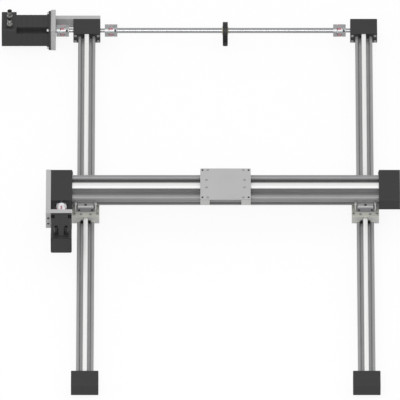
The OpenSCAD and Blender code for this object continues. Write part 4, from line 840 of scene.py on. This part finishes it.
# Thickness of an insert, and how deep its middle lies under the shell's top
INSERT_H, INSERT_DEPTH = 2.4 * MM, 4.7 * MM
PIN_H, PIN_R, PINS = 0.9 * MM, 0.3 * MM, 5
for node, body, run in (("drive_motor_connectors", "base", Y),
                        ("cross_motor_connectors", "cross_axis", X)):
    low, high = (Vector(corner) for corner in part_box(node))
    spread = high[run] - low[run] - SHELL_D
    middle = (low + high) / 2
    middle.z = high.z - INSERT_DEPTH
    piece = bake(node.replace("connectors", "inserts"), insert_tree, {
        "Mouth Radius": MOUTH_R, "Thickness": INSERT_H, "Pin Height": PIN_H,
        "Pin Radius": PIN_R, "Spread X": spread if run == X else 0.0,
        "Spread Y": spread if run == Y else 0.0, "Pins": PINS,
        "Insert": insert_black, "Contact": gold_pin}, Matrix.Translation(middle))
    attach(piece, body)

# %% [markdown]
# ## Room, light and camera
# A catalogue picture shows the machine on a plain white floor under even light. Floor and world
# are whiter where they are seen directly or in a mirror than the light that they throw on the
# machine, so the background stays white and the blacks stay dark.

# %% What is seen directly
def seen_directly(tree):
    """1 for what the camera sees straight, in a mirror or through glass, 0 for plain light."""
    path = add(tree, "ShaderNodeLightPath")
    mirrored = add(tree, "ShaderNodeMath", {"operation": "MAXIMUM"}, {
        0: path.outputs["Is Camera Ray"], 1: path.outputs["Is Glossy Ray"]})
    return add(tree, "ShaderNodeMath", {"operation": "MAXIMUM"}, {
        0: mirrored.outputs[0], 1: path.outputs["Is Transmission Ray"]}).outputs[0]


# %% [markdown]
# ## Floor
# The floor lies half a millimetre under the machine and reaches far past the view. Its paint
# takes the soft shadow, and its own light makes up the rest of the white.

# %% Floor
FLOOR_GAP, FLOOR_REACH = 0.5 * MM, 60.0
# How much of the floor's look is its own light, and how strong that light is
GLOW_SHARE, GLOW_STRENGTH = 0.8, 1.11
floor_z = cad_box[0][Z] - FLOOR_GAP
floor_mesh = bpy.data.meshes.new("floor")
floor_mesh.from_pydata([(x * FLOOR_REACH, y * FLOOR_REACH, floor_z) for x, y in (
    (-1, -1), (1, -1), (1, 1), (-1, 1))], [], [(0, 1, 2, 3)])
floor = in_scene("floor", floor_mesh)
# Matt white paint: even and without a highlight, dimmed only where the machine stands near
floor_paint = bpy.data.materials.new("white floor paint")
floor_paint.use_nodes = True
tree = floor_paint.node_tree
tree.nodes.remove(tree.nodes["Principled BSDF"])
own_share = add(tree, "ShaderNodeMath", {"operation": "MULTIPLY"}, {
    0: seen_directly(tree), 1: GLOW_SHARE})
painted = add(tree, "ShaderNodeBsdfDiffuse", inputs={"Color": linear("#c6c6c6")})
glowing = add(tree, "ShaderNodeEmission", inputs={
    "Color": (1, 1, 1, 1), "Strength": GLOW_STRENGTH})
floor_mix = add(tree, "ShaderNodeMixShader", inputs={
    0: own_share.outputs[0], 1: painted.outputs[0], 2: glowing.outputs[0]})
tree.links.new(floor_mix.outputs[0], tree.nodes["Material Output"].inputs["Surface"])
floor_mesh.materials.append(floor_paint)
floor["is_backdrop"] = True
print("floor at", round(floor_z / MM, 1), "mm")

# %% [markdown]
# ## World
# An even world fills the shadows, a little weaker than white, and shows white where it is seen
# directly.

# %% World
ROOM_LIGHT, ROOM_SEEN = 0.75, 1.0
world = bpy.data.worlds.new("soft room")
bpy.context.scene.world = world
world.use_nodes = True
tree = world.node_tree
level = add(tree, "ShaderNodeMapRange", inputs={
    "Value": seen_directly(tree), "To Min": ROOM_LIGHT, "To Max": ROOM_SEEN})
tree.links.new(level.outputs["Result"], tree.nodes["Background"].inputs["Strength"])
tree.nodes["Background"].inputs["Color"].default_value = (1, 1, 1, 1)
print(world.name, "lights at", ROOM_LIGHT, "and is seen at", ROOM_SEEN)

# %% [markdown]
# ## Lamp
# One very large and soft lamp, high in front and turned to the machine, gives the metal its
# bands of light.

# %% A large soft lamp
LAMP_METRES, LAMP_WATTS, LAMP_PLACE = 5.0, 340, (-0.6, -6.6, 7.5)
lamp = bpy.data.lights.new("softbox", "AREA")
lamp.shape = "DISK"
lamp.size = LAMP_METRES
lamp.energy = LAMP_WATTS
holder = in_scene("softbox", lamp)
holder.location = LAMP_PLACE
holder.rotation_euler = (-holder.location).to_track_quat("-Z", "Y").to_euler()
print(holder.name, "stands", round(holder.location.length, 1), "m from the machine")

# %% [markdown]
# ## Camera
# The machine is drawn 45 degrees from above and straight from the front. Parallel lines stay
# parallel there, as they nearly do through a very long lens from far away.

# %% Camera
VIEW_WIDTH = 1.1462
SENSOR, LENS = 36.0, 1650.0
TILT = math.radians(45)
target = Vector((-0.073, 0.0388, 0.0))
distance = VIEW_WIDTH * LENS / SENSOR
eye = Vector((0, -math.cos(TILT), math.sin(TILT)))
camera = bpy.data.cameras.new("camera")
camera.lens, camera.sensor_width = LENS, SENSOR
camera.clip_start, camera.clip_end = 1.0, 200.0
viewer = in_scene("camera", camera)
viewer.location = target + eye * distance
viewer.rotation_euler = (TILT, 0, 0)
bpy.context.scene.camera = viewer
bpy.context.scene.view_settings.view_transform = "Standard"
print("camera", round(distance, 1), "m away, view", VIEW_WIDTH, "m wide")

# %% [markdown]
# ## Sizes
# The dressed machine must stay within the CAD box, so both boxes are written down and compared.

# %% Compare the boxes
visual_box = [list(corner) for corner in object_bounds()]
growth = [round((b - a) / MM, 3) for a, b in zip(sum(cad_box, []), sum(visual_box, []))]
print("grown by", growth, "mm")
